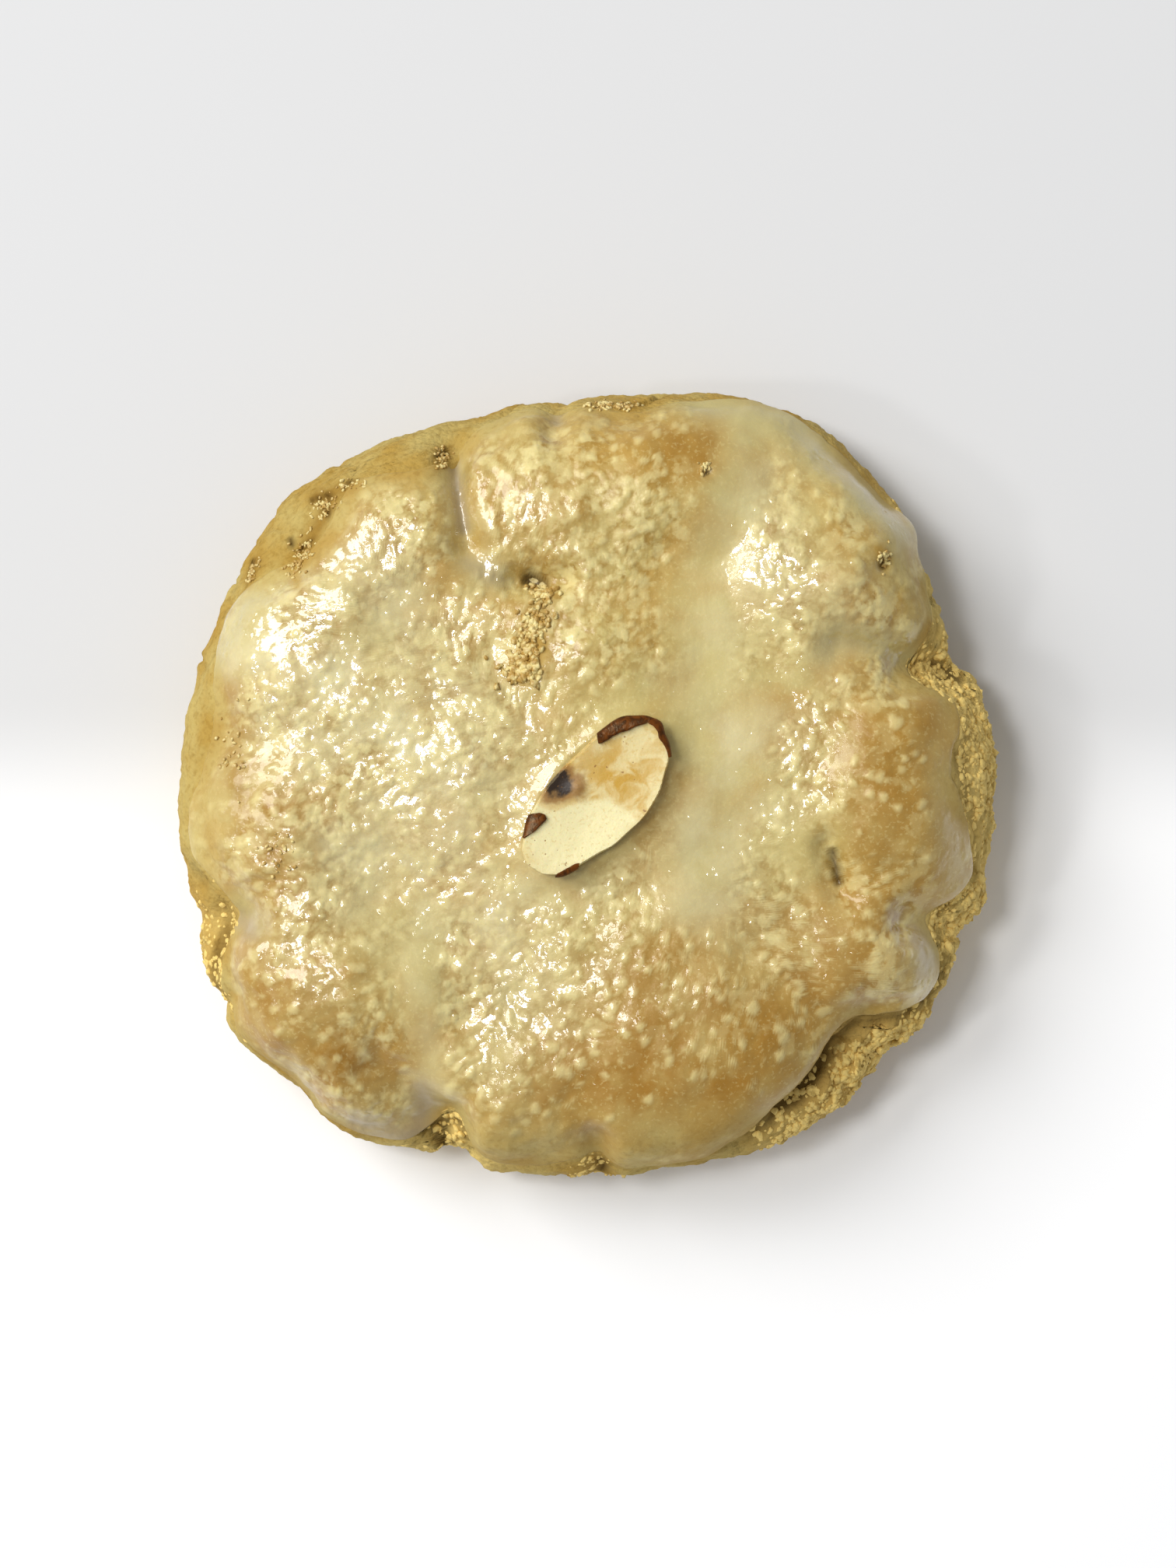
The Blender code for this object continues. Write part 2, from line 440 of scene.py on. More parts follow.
@dataclass
class CakeForm:
    """The outer form that every layer of the cake follows, close to that of the frame's solids."""

    radius: float = 47.0
    widest_level: float = 8.0
    shoulder_level: float = 19.2
    shoulder_width: float = 15.5
    base_tuck: float = 3.6
    crown_rise: float = 2.6
    dome_radius: float = 28.8
    glaze_inset: float = 1.3
    crown_wavelength: float = 9.0
    crown_unevenness: float = 0.45
    crumb_wavelength: float = 4.5
    crumb_depth: float = 0.55
    wander_wavelength: float = 5.0
    wander: float = 3.0
    seat_x: float = 1.1
    seat_y: float = -1.1
    seat_radius: float = 8.0
    seat_fade: float = 8.0
    crown_fade: float = 1.5
    side_loss_on_crown: float = 0.7
    crack_start: float = 27.0
    crack_full: float = 39.0
    swells: tuple[Swell, ...] = (
        Swell(58, 14, 2.25),
        Swell(84, 10, -1.15),
        Swell(104, 18, -2.55),
        Swell(137, 9, 1.05),
        Swell(190, 12, 0.6),
        Swell(213, 12, 3.25),
        Swell(234, 7, 2.0),
        Swell(262, 8, -1.35),
        Swell(282, 12, -1.8),
        Swell(303, 10, 0.3),
        Swell(324, 10, 0.55),
        Swell(343, 8, 0.7),
        Swell(26, 9, -1.65),
        Swell(42, 7, 0.5),
    )
    cracks: tuple[Swell, ...] = (
        Swell(19, 3.2, 1.7),
        Swell(35, 2.4, 1.0),
        Swell(94, 2.4, 1.1),
        Swell(199, 2.6, 1.0),
        Swell(211, 2.6, 1.2),
        Swell(250, 3.6, 2.2),
        Swell(271, 2.4, 1.1),
        Swell(318, 2.8, 1.1),
        Swell(338, 2.8, 1.3),
    )
    retreats: tuple[Swell, ...] = (
        Swell(3, 8.5, 5.2),
        Swell(18, 5, 5.2),
        Swell(37, 5, -0.9),
        Swell(66, 8, -0.7),
        Swell(83, 5, 1.4),
        Swell(99, 5, -0.6),
        Swell(118, 8, 4.2),
        Swell(138, 10, 5.2),
        Swell(172, 10, 2.4),
        Swell(199, 6, 4.0),
        Swell(231, 7, -0.6),
        Swell(248.5, 3.2, 3.4),
        Swell(270, 4, 1.8),
        Swell(283, 5, -0.4),
        Swell(302, 7, 3.2),
        Swell(316, 9, 6.2),
        Swell(339, 5, 3.6),
        Swell(352, 8, 1.4),
    )
    lobes: tuple[Lobe, ...] = (
        Lobe(-2, 33, 13, 1.9),
        Lobe(10.5, 34.5, 10.5, 1.9),
        Lobe(-20.5, 31, 11, 1.9),
        Lobe(28.5, 23.5, 13, 2.5),
        Lobe(35, 0.5, 15, 2.7),
        Lobe(10.5, -28, 21, 3),
        Lobe(-30, -25, 15, 2.6),
        Lobe(-34, -6, 12, 1.8),
        Lobe(-30, 15.5, 14, 1.7),
        Lobe(-19, 3, 14, 1.3),
        Lobe(-10, -35, 9.5, 1.5),
        Lobe(31.5, -20.5, 11, 1.8),
        Lobe(1, 17, 12, 1.1),
    )
    creases: tuple[Crease, ...] = (
        Crease(-15.4, 38.5, -13.7, 27, 1.8, 2),
        Crease(-3.4, 45, -3.9, 39.5, 1.7, 1.6),
        Crease(-8, 23, -3, 23, 1.7, 1.7),
        Crease(27, -7, 28.6, -12.5, 1.6, 1.2),
        Crease(28.5, 15.6, 44, 13, 2.4, 2.2),
        Crease(36, -15.6, 45, -16.6, 2.3, 1.6),
        Crease(32, -25.5, 29, -31.5, 2.3, 1.6),
        Crease(29, -31.5, 17, -41.5, 2.3, 2),
        Crease(-23.5, -32, -17.5, -38.5, 3.2, 2),
        Crease(-17.5, -38.5, -16, -44, 3.2, 2.2),
        Crease(1.2, -40, 1.4, -44.5, 1.7, 1.7),
        Crease(-42.5, -16, -40.5, -24, 1.8, 1.5),
        Crease(-39.5, -15.5, -37, -15.8, 1.9, 1.2),
        Crease(-31.5, 30, -33.5, 23, 2.2, 0.9),
    )

    def outline(self, angle: Array) -> Array:
        """Gives the radius at the widest level for each angle."""
        return self.radius + swell_sum(angle, self.swells)

    def lengths(self, angle: Array) -> tuple[Array, float, float]:
        """Measures the section's three stretches along the surface.

        Args:
            angle: The angles, in degrees.

        Returns:
            The lengths of the crown, the shoulder and the tucked-in side.
        """
        quarter = math.pi / 2 / math.sqrt(2)
        shoulder = quarter * math.hypot(self.shoulder_width, self.shoulder_level - self.widest_level)
        side = quarter * math.hypot(self.base_tuck, self.widest_level)
        return self.outline(angle) - self.shoulder_width, shoulder, side

    def section(self, angle: Array, along: Array) -> tuple[Array, Array]:
        """Finds points of the plain section.

        Args:
            angle: The angles, in degrees.
            along: Distances along the section from the middle of the crown.

        Returns:
            The radius and the height of each point.
        """
        crown, shoulder, side = self.lengths(angle)
        quarter = math.pi / 2
        upper = quarter * (1.0 - (along - crown) / shoulder)
        lower = -quarter * np.minimum(1.0, (along - crown - shoulder) / side)
        on_shoulder = along < crown + shoulder
        climb = np.where(on_shoulder, upper, lower)
        width = np.where(on_shoulder, self.shoulder_width, self.base_tuck)
        rise = np.where(on_shoulder, self.shoulder_level - self.widest_level, self.widest_level)
        radius = self.outline(angle) - width * (1.0 - np.cos(climb))
        height = self.widest_level + rise * np.sin(climb)
        fall = np.minimum(1.0, along / self.dome_radius) ** 2
        dome = self.shoulder_level + self.crown_rise * (1.0 - fall) ** 2
        on_crown = along < crown
        return np.where(on_crown, along, radius), np.where(on_crown, dome, height)

    def glaze_reach(self, angle: Array) -> Array:
        """Gives how far the glaze runs along the section at each angle.

        Args:
            angle: The angles, in degrees.

        Returns:
            The distance from the middle of the crown at each angle.
        """
        inset = self.glaze_inset + swell_sum(angle, self.retreats)
        crown, shoulder, _ = self.lengths(angle)
        climb = np.arccos(np.clip(1.0 - inset / self.shoulder_width, 0.0, 1.0))
        return crown + shoulder * (1.0 - climb / (math.pi / 2))

    def crown_relief(self, x: Array, y: Array) -> Array:
        """Gives how far the lobes and creases lift the crown at points in plan.

        Args:
            x: The points' first coordinate.
            y: The points' second coordinate.

        Returns:
            The lift at each point.
        """
        lift = np.zeros_like(x)
        for lobe in self.lobes:
            away = ((x - lobe.x) ** 2 + (y - lobe.y) ** 2) / lobe.radius**2
            lift += lobe.height * np.maximum(0.0, 1.0 - away) ** 1.5
        lift += self.crown_unevenness * noise_at(rows_at(x, y, 0.0), self.crown_wavelength)
        off_seat = np.hypot(x - self.seat_x, y - self.seat_y)
        lift *= smooth_step(off_seat, self.seat_radius, self.seat_radius + self.seat_fade)
        for crease in self.creases:
            lift -= crease.depth * hump(distance_to_line(x, y, crease), crease.half_width)
        return lift

    def side_relief(self, angle: Array, points: Array) -> Array:
        """Gives how far the coarse crumb and the rim cracks move the side.

        Args:
            angle: The points' angles, in degrees.
            points: The points on the plain section.

        Returns:
            The lift at each point.
        """
        lift = self.crumb_depth * noise_at(points, self.crumb_wavelength)
        outside = smooth_step(np.hypot(points[:, 0], points[:, 1]), self.crack_start, self.crack_full)
        for crack in self.cracks:
            rows = np.zeros_like(points)
            rows[:, 0] = crack.angle
            rows[:, 2] = points[:, 2] / self.wander_wavelength
            course = crack.angle + self.wander * noise_at(rows, 1.0)
            lift -= crack.amount * outside * hump(turn_between(angle, course), crack.half_width)
        return lift

    def surface(self, angle: Array, along: Array, lift: Array | float) -> Array:
        """Finds points of the cake's surface, lifted off it along the section's own normal.

        Args:
            angle: The angles, in degrees.
            along: Distances along the section from the middle of the crown.
            lift: How far each point is lifted.

        Returns:
            One row of three coordinates for each point.
        """
        around = np.radians(angle)
        radius, height = self.section(angle, along)
        step = 0.05
        ahead = self.section(angle, along + step)
        behind = self.section(angle, np.maximum(0.0, along - step))
        run, drop = ahead[0] - behind[0], behind[1] - ahead[1]
        length = np.maximum(np.hypot(run, drop), 1e-9)
        plain = np.column_stack((radius * np.cos(around), radius * np.sin(around), height))
        on_crown = smooth_step(height, self.widest_level, self.shoulder_level - self.crown_fade)
        off_base = smooth_step(height, 0.0, self.widest_level * 0.6)
        moved = self.crown_relief(plain[:, 0], plain[:, 1]) * on_crown + lift
        moved += self.side_relief(angle, plain) * off_base * (1.0 - self.side_loss_on_crown * on_crown)
        outwards, upwards = drop / length, run / length
        normal = np.column_stack((outwards * np.cos(around), outwards * np.sin(around), upwards))
        return plain + normal * moved[:, None]

    @staticmethod
    def polar(sheet: Array) -> tuple[Array, Array]:
        """Turns the rings of a square sheet into circles.

        Args:
            sheet: The sheet's vertices, from -1 to 1.

        Returns:
            The angle and the ring share of each vertex.
        """
        u, v = sheet[:, 0], sheet[:, 1]
        ring = np.maximum(np.abs(u), np.abs(v))
        safe_u = np.where(np.abs(u) < 1e-9, 1.0, u)
        safe_v = np.where(np.abs(v) < 1e-9, 1.0, v)
        wide = 45.0 * v / safe_u + np.where(u > 0, 0.0, 180.0)
        tall = np.where(v > 0, 90.0, 270.0) - 45.0 * u / safe_v
        angle = np.where(np.abs(u) >= np.abs(v), wide, tall) % 360.0
        return np.where(ring < 1e-9, 0.0, angle), ring


class NodeSheet:
    """One material's node tree, with short ways to add and wire what the finishes need."""

    def __init__(self, name: str) -> None:
        """Makes the material.

        Args:
            name: The material's name.
        """
        self.material = bpy.data.materials.new(name)
        self.material.use_nodes = True
        self.tree = self.material.node_tree
        self.shader = self.tree.nodes["Principled BSDF"]
        self.object_coords = self.add("ShaderNodeTexCoord").outputs["Object"]

    def add(self, kind: str, **settings: object) -> bpy.types.Node:
        """Adds a node.

        Args:
            kind: The node's type.
            settings: Its properties.

        Returns:
            The new node.
        """
        node = self.tree.nodes.new(kind)
        for key, value in settings.items():
            setattr(node, key, value)
        return node

    def feed(self, socket: Socket, value: object) -> None:
        """Wires another socket into this one, or sets its value.

        Args:
            socket: The socket that is fed.
            value: The other socket, or a plain value.
        """
        if isinstance(value, Socket):
            self.tree.links.new(value, socket)
        else:
            socket.default_value = value

    def noise(self, size: float, detail: float = 3.0, distortion: float = 0.0) -> Socket:
        """Adds soft noise.

        Args:
            size: The size of the lumps, in millimetres.
            detail: How many finer layers lie over them.
            distortion: How much the lumps are twisted.

        Returns:
            The noise, from 0 to 1.
        """
        node = self.add("ShaderNodeTexNoise")
        self.feed(node.inputs["Vector"], self.object_coords)
        self.feed(node.inputs["Scale"], 1.0 / (size * MM))
        self.feed(node.inputs["Detail"], detail)
        self.feed(node.inputs["Distortion"], distortion)
        return node.outputs["Fac"]

    def cells(self, size: float) -> Socket:
        """Adds rounded cells.

        Args:
            size: The size of the cells, in millimetres.

        Returns:
            The distance from the nearest cell's middle.
        """
        node = self.add("ShaderNodeTexVoronoi", feature="F1")
        self.feed(node.inputs["Vector"], self.object_coords)
        self.feed(node.inputs["Scale"], 1.0 / (size * MM))
        return node.outputs["Distance"]

    def mark(self, mark: Mark) -> Socket:
        """Reads a painted mask."""
        return self.add("ShaderNodeAttribute", attribute_name=mark.value).outputs["Fac"]

    def axis(self, name: str) -> Socket:
        """Reads one coordinate of the shaded point.

        Args:
            name: The coordinate: X, Y or Z.

        Returns:
            The coordinate, in metres.
        """
        node = self.add("ShaderNodeSeparateXYZ")
        self.feed(node.inputs[0], self.object_coords)
        return node.outputs[name]

    def remap(
        self, value: Socket, low: float, high: float, to_low: float = 0.0, to_high: float = 1.0
    ) -> Socket:
        """Stretches a range of values smoothly onto another.

        Args:
            value: The values to stretch.
            low: The start of their range.
            high: The end of their range.
            to_low: What the start becomes.
            to_high: What the end becomes.

        Returns:
            The stretched values.
        """
        node = self.add("ShaderNodeMapRange", interpolation_type="SMOOTHSTEP")
        for socket, given in zip(node.inputs, (value, low, high, to_low, to_high)):
            self.feed(socket, given)
        return node.outputs["Result"]

    def math(self, how: str, first: object, second: object, clamp: bool = True) -> Socket:
        """Combines two values.

        Args:
            how: The sum to do, such as ADD or MAXIMUM.
            first: A socket or a plain value.
            second: Another socket or plain value.
            clamp: Whether the result is kept from 0 to 1.

        Returns:
            The result.
        """
        node = self.add("ShaderNodeMath", operation=how, use_clamp=clamp)
        self.feed(node.inputs[0], first)
        self.feed(node.inputs[1], second)
        return node.outputs[0]

    def product(self, first: object, second: object) -> Socket:
        """Multiplies two shares."""
        return self.math("MULTIPLY", first, second)

    def total(self, *layers: tuple[Socket, object]) -> Socket:
        """Adds up layers of relief.

        Args:
            layers: Each a relief and its weight.

        Returns:
            The total.
        """
        height = None
        for layer, weight in layers:
            part = self.math("MULTIPLY", layer, weight, clamp=False)
            height = part if height is None else self.math("ADD", height, part, clamp=False)
        return height

    def blend(self, share: object, first: object, second: object) -> Socket:
        """Mixes two colours.

        Args:
            share: The share of the second colour.
            first: A colour.
            second: Another colour.

        Returns:
            The mixed colour.
        """
        node = self.add("ShaderNodeMix", data_type="RGBA")
        for socket, given in zip((node.inputs[0], node.inputs[6], node.inputs[7]), (share, first, second)):
            self.feed(socket, given)
        return node.outputs[2]

    def paint_over(self, colour: object, *layers: tuple[Socket, object]) -> Socket:
        """Lays colours over one another.

        Args:
            colour: The lowest colour.
            layers: Each a share and the colour that it stands for, the lowest first.

        Returns:
            The finished colour.
        """
        for share, paint in layers:
            colour = self.blend(share, colour, paint)
        return colour

    def bump(self, *layers: tuple[Socket, object]) -> Socket:
        """Adds relief finer than the mesh and gives the new normal.

        Args:
            layers: Each a relief and the depth in millimetres that its 1 stands for.

        Returns:
            The new normal.
        """
        node = self.add("ShaderNodeBump")
        self.feed(node.inputs["Strength"], 1.0)
        self.feed(node.inputs["Distance"], 1.0 * MM)
        self.feed(node.inputs["Height"], self.total(*layers))
        return node.outputs["Normal"]

    def finish(self, **sockets: object) -> bpy.types.Material:
        """Sets the shader's sockets.

        Args:
            sockets: A value for each, named with underscores for spaces.

        Returns:
            The finished material.
        """
        for name, value in sockets.items():
            self.feed(self.shader.inputs[name.replace("_", " ")], value)
        return self.material


def paint_colour(red: int, green: int, blue: int) -> tuple[float, float, float, float]:
    """Turns a colour as a screen shows it into the linear one that a shader takes.

    Args:
        red: How red the screen shows it, from 0 to 255.
        green: How green.
        blue: How blue.

    Returns:
        The linear colour, with full cover as its fourth value.
    """
    shares = (channel / 255.0 for channel in (red, green, blue))
    linear = (s / 12.92 if s <= 0.04045 else ((s + 0.055) / 1.055) ** 2.4 for s in shares)
    return (*linear, 1.0)


@dataclass(frozen=True)
class DoughFinish:
    """Dry, sandy almond dough, browned round its foot, paler where torn (partly painted light), with
    painted shade in hollows.
    """

    crust: tuple = paint_colour(189, 167, 99)
    deep: tuple = paint_colour(176, 142, 66)
    # Paler torn crumb, made lighter still as painted light, since the torn ledges slope away from the
    # lamps.
    torn: tuple = paint_colour(244, 214, 130)
    # Dark grit in the crust, and painted shade in the crumb's hollows.
    pore_and_shade: tuple = paint_colour(138, 102, 28)
    foot: tuple = paint_colour(176, 134, 56)
    base: tuple = paint_colour(138, 93, 38)
    sand: tuple = paint_colour(148, 110, 38)
    # Painted shade laid into the crevice under the glaze's lip and into the pits.
    shaded_gap: tuple = paint_colour(76, 52, 12)
    foot_height: float = 4.0
    foot_full: float = 2.0
    foot_sway: float = 4.0
    base_fade: float = 0.5
    base_full: float = 0.1
    sheen_tint: tuple = (1.0, 0.95, 0.7, 1.0)

    def crust_colour(self, sheet: NodeSheet) -> Socket:
        """Adds the colour of the dry crust, which the glaze's thin edge also shows.

        Args:
            sheet: The material's nodes.

        Returns:
            The crust's colour.
        """
        tone = sheet.blend(sheet.remap(sheet.noise(7.0, 5.0), 0.35, 0.65), self.crust, self.deep)
        grit = sheet.remap(sheet.noise(0.7, 3.0), 0.5, 0.68, 0.0, 0.3)
        return sheet.blend(grit, tone, self.pore_and_shade)

    def material(self) -> bpy.types.Material:
        """Builds the dough's material.

        Returns:
            The finished material.
        """
        sheet = NodeSheet("baked_almond_dough")
        crumb = sheet.mark(Mark.CRUMB)
        soft, fine = sheet.noise(1.6, 4.0), sheet.cells(0.6)
        sway = sheet.math("MULTIPLY", sheet.noise(9.0), self.foot_sway * MM, clamp=False)
        level = sheet.math("ADD", sheet.axis("Z"), sway, clamp=False)
        # Painted shade: the crumb's low spots, where its bump dips, take the dark grit colour.
        hollow = sheet.product(sheet.remap(soft, 0.47, 0.34), sheet.remap(fine, 0.1, 0.5, 0.5, 1.0))
        colour = sheet.paint_over(
            self.crust_colour(sheet),
            # Torn crumb, partly painted light.
            (crumb, self.torn),
            (sheet.mark(Mark.TOAST), self.foot),
            (sheet.remap(level, self.foot_height * MM, self.foot_full * MM), self.foot),
            (sheet.remap(sheet.axis("Z"), self.base_fade * MM, self.base_full * MM), self.base),
            (sheet.product(hollow, sheet.remap(crumb, 0.1, 0.8, 0.15, 0.5)), self.pore_and_shade),
            (sheet.mark(Mark.SAND), self.sand),
            # Painted shade in the crevices and pits.
            (sheet.mark(Mark.CHAR), self.shaded_gap),
        )
        rough = sheet.remap(crumb, 0.0, 0.8, 0.16, 0.45)
        relief = sheet.bump((soft, rough), (fine, -0.12), (sheet.noise(0.3, 2.0), 0.09))
        return sheet.finish(
            Base_Color=colour,
            Roughness=0.85,
            Specular_IOR_Level=0.2,
            Specular_Tint=self.sheen_tint,
            Normal=relief,
        )


@dataclass(frozen=True)
class GlazeFinish:
    """Sugar glaze over dough: satin, with pale grains, wet where thick, milky in pools, and painted sheen,
    shade and light.
    """

    dough: DoughFinish
    clear: tuple = paint_colour(203, 185, 117)
    golden: tuple = paint_colour(190, 154, 78)
    # Paler, clearer glaze, raised further as painted light on the lit left half.
    pale: tuple = paint_colour(225, 214, 163)
    # The golden dough between the grains, deepened as painted shade in hollows and seams.
    shaded_gap: tuple = paint_colour(158, 118, 40)
    # The pale grains' colour, also laid on as painted sheen in blotches.
    cream: tuple = paint_colour(233, 218, 153)
    toast: tuple = paint_colour(160, 116, 40)
    milk: tuple = paint_colour(190, 176, 118)
    pool: tuple = paint_colour(168, 148, 112)
    sand: tuple = paint_colour(172, 136, 60)
    # Painted shade in the glaze's holes.
    shaded_pit: tuple = paint_colour(70, 46, 10)
    sheen_tint: tuple = (1.0, 0.96, 0.78, 1.0)
    pearl_size: float = 1.2
    film_roughness: float = 0.06
    film_ior: float = 1.74
    glow: float = 0.1
    glow_reach: tuple = (1.0, 0.7, 0.3)
    glow_depth: float = 1.2

    def pearls(self, sheet: NodeSheet) -> Socket:
        """Adds the small round grains that stand up under the film, 1 on their tops."""
        return sheet.remap(sheet.cells(self.pearl_size), 0.12, 0.5, 1.0, 0.0)

    def colour(self, sheet: NodeSheet, grain: Socket, dry: Socket) -> Socket:
        """Adds the colours, from the dough seen through the glaze to the pools on top.

        Args:
            sheet: The material's nodes.
            grain: Where the dough's grains show.
            dry: Where the glaze has thinned out to bare crust.

        Returns:
            The finished colour.
        """
        tone = sheet.remap(sheet.noise(9.0, 5.0, 0.4), 0.36, 0.66)
        cloud = sheet.remap(sheet.noise(5.0, 4.0), 0.3, 0.6, 0.4, 1.0)
        # Paler glaze: its own clearer tone, and painted light on the left half, which faces the lamps.
        pale = sheet.product(sheet.mark(Mark.PALE), cloud)
        browned = sheet.remap(sheet.noise(3.0), 0.25, 0.6, 0.55, 1.0)
        # Painted shade: low spots and the seams round the raised grains are darkened.
        hollow = sheet.product(sheet.remap(sheet.noise(1.4, 3.0), 0.52, 0.4), grain)
        hollow = sheet.product(hollow, sheet.remap(pale, 0.0, 0.8, 1.0, 0.5))
        seam_shade = sheet.product(sheet.remap(self.pearls(sheet), 0.0, 0.8, 0.42, 0.0), grain)
        # Cream blotches: pale grains under the film, and painted sheen where the lamps' soft reflection is
        # laid in as colour.
        grain_and_sheen_blotch = sheet.product(sheet.remap(sheet.noise(2.4, 4.0), 0.5, 0.6), grain)
        return sheet.paint_over(
            sheet.blend(tone, self.clear, self.golden),
            (pale, self.pale),
            (sheet.product(sheet.mark(Mark.TOAST), browned), self.toast),
            (sheet.product(hollow, 0.7), self.shaded_gap),
            (seam_shade, self.shaded_gap),
            (sheet.product(grain_and_sheen_blotch, 0.75), self.cream),
            (sheet.product(sheet.mark(Mark.BEAD), 0.56), self.cream),
            (sheet.remap(sheet.noise(0.45, 2.0), 0.56, 0.68, 0.0, 0.22), self.cream),
            (dry, self.dough.crust_colour(sheet)),
            (sheet.mark(Mark.MILK), self.milk),
            (sheet.mark(Mark.POOL), self.pool),
            (sheet.mark(Mark.SAND), self.sand),
            # Painted shade in the holes.
            (sheet.mark(Mark.CHAR), self.shaded_pit),
        )

    def film(self, sheet: NodeSheet, grain: Socket) -> tuple[Socket, Socket]:
        """Adds the film's fine relief.

        Args:
            sheet: The material's nodes.
            grain: Where the dough's grains show.

        Returns:
            The normal of the satin skin and that of the wet coat over it.
        """
        soft, ripple, fine = sheet.noise(1.5, 3.0), sheet.noise(0.95, 1.0), sheet.noise(0.5, 2.0)
        pearls = self.pearls(sheet)
        coarse = sheet.remap(grain, 0.0, 1.0, 0.02, 0.05)
        raised = sheet.remap(grain, 0.1, 0.8, 0.0, 0.06)
        skin = sheet.bump((soft, 0.1), (fine, coarse), (pearls, raised))
        stir = sheet.noise(4.0, 2.0)
        broken = sheet.remap(stir, 0.44, 0.56, 0.015, 0.11)
        rippled = sheet.remap(stir, 0.44, 0.56, 0.02, 0.07)
        return skin, sheet.bump((soft, 0.08), (ripple, rippled), (pearls, broken), (fine, 0.02))

    def material(self) -> bpy.types.Material:
        """Builds the glaze's material.

        Returns:
            The finished material.
        """
        sheet = NodeSheet("wet_sugar_glaze")
        grain, dry = sheet.mark(Mark.GRAIN), sheet.mark(Mark.DRY)
        bare = sheet.math("MAXIMUM", dry, sheet.mark(Mark.SAND))
        wet = sheet.product(sheet.mark(Mark.WET), sheet.remap(bare, 0.7, 0.2))
        skin, wave = self.film(sheet, grain)
        return sheet.finish(
            Base_Color=self.colour(sheet, grain, dry),
            Roughness=sheet.remap(bare, 0.1, 0.8, 0.36, 0.8),
            Specular_Tint=self.sheen_tint,
            Normal=skin,
            Coat_Weight=wet,
            Coat_Roughness=self.film_roughness,
            Coat_IOR=self.film_ior,
            Coat_Normal=wave,
            Subsurface_Weight=self.glow,
            Subsurface_Radius=self.glow_reach,
            Subsurface_Scale=self.glow_depth * MM,
        )


@dataclass(frozen=True)
class GrainFinish:
    """Single grains of dough, each a little lighter or darker than the next."""

    pale: tuple = paint_colour(232, 213, 145)
    dark: tuple = paint_colour(184, 147, 72)

    def material(self) -> bpy.types.Material:
        """Builds the grains' material.

        Returns:
            The finished material.
        """
        sheet = NodeSheet("sandy_grains")
        colour = sheet.blend(sheet.remap(sheet.noise(0.9, 2.0), 0.38, 0.6), self.pale, self.dark)
        relief = sheet.bump((sheet.noise(0.3, 2.0), 0.08))
        return sheet.finish(Base_Color=colour, Roughness=0.45, Normal=relief)


@dataclass(frozen=True)
class AlmondFinish:
    """Toasted almond flesh with one burnt spot."""

    cream: tuple = paint_colour(241, 230, 176)
    tan: tuple = paint_colour(202, 156, 46)
    burnt: tuple = paint_colour(46, 30, 14)
    halo: tuple = paint_colour(150, 104, 46)
    glow: float = 0.2
    glow_reach: tuple = (1.0, 0.7, 0.35)
    glow_depth: float = 1.5

    def material(self) -> bpy.types.Material:
        """Builds the flesh's material.

        Returns:
            The finished material.
        """
        sheet = NodeSheet("toasted_almond")
        browned = sheet.remap(sheet.noise(2.2, 5.0, 0.8), 0.36, 0.6, 0.4, 1.0)
        uneven = sheet.remap(sheet.noise(1.1, 4.0), 0.3, 0.7, -0.1, 0.1)
        char = sheet.math("ADD", sheet.mark(Mark.CHAR), uneven)
        colour = sheet.paint_over(
            self.cream,
            (sheet.product(sheet.mark(Mark.TOAST), browned), self.tan),
            (sheet.remap(sheet.noise(0.35, 3.0), 0.44, 0.3, 0.0, 0.3), self.tan),
            (sheet.remap(char, 0.06, 0.5, 0.0, 0.85), self.halo),
            (sheet.remap(char, 0.5, 0.78), self.burnt),
            (sheet.product(sheet.remap(sheet.noise(0.55, 1.0), 0.27, 0.22), 0.8), self.halo),
        )
        relief = sheet.bump((sheet.noise(1.1, 4.0), 0.09), (sheet.noise(0.25, 1.0), 0.025))
        return sheet.finish(
            Base_Color=colour,
            Roughness=0.48,
            Normal=relief,
            Subsurface_Weight=self.glow,
            Subsurface_Radius=self.glow_reach,
            Subsurface_Scale=self.glow_depth * MM,
        )


@dataclass(frozen=True)
class SkinFinish:
    """Brown almond skin, wrinkled and a little shiny."""

    skin: tuple = paint_colour(104, 54, 10)
    dark: tuple = paint_colour(62, 30, 4)
    sheen_tint: tuple = (1.0, 0.8, 0.5, 1.0)

    def material(self) -> bpy.types.Material:
        """Builds the skin's material.

        Returns:
            The finished material.
        """
        sheet = NodeSheet("almond_skin")
        streak = sheet.remap(sheet.noise(0.9, 4.0, 1.0), 0.35, 0.65)
        colour = sheet.blend(streak, self.skin, self.dark)
        relief = sheet.bump((sheet.noise(0.6, 2.0, 1.0), 0.05))
        return sheet.finish(
            Base_Color=colour,
            Roughness=0.3,
            Specular_IOR_Level=0.35,
            Specular_Tint=self.sheen_tint,
            Normal=relief,
        )


@dataclass(frozen=True)
class TableFinish:
    """A plain pale table, a shade darker behind the cake than in front of it."""

    front: tuple = paint_colour(252, 252, 252)
    back: tuple = paint_colour(221, 221, 221)
    fade_start: float = -9.0
    fade_end: float = 11.0

    def material(self) -> bpy.types.Material:
        """Builds the table's material.

        Returns:
            The finished material.
        """
        sheet = NodeSheet("pale_table")
        share = sheet.remap(sheet.axis("Y"), self.fade_start * MM, self.fade_end * MM)
        colour = sheet.blend(share, self.front, self.back)
        return sheet.finish(Base_Color=colour, Roughness=0.9, Specular_IOR_Level=0.1)


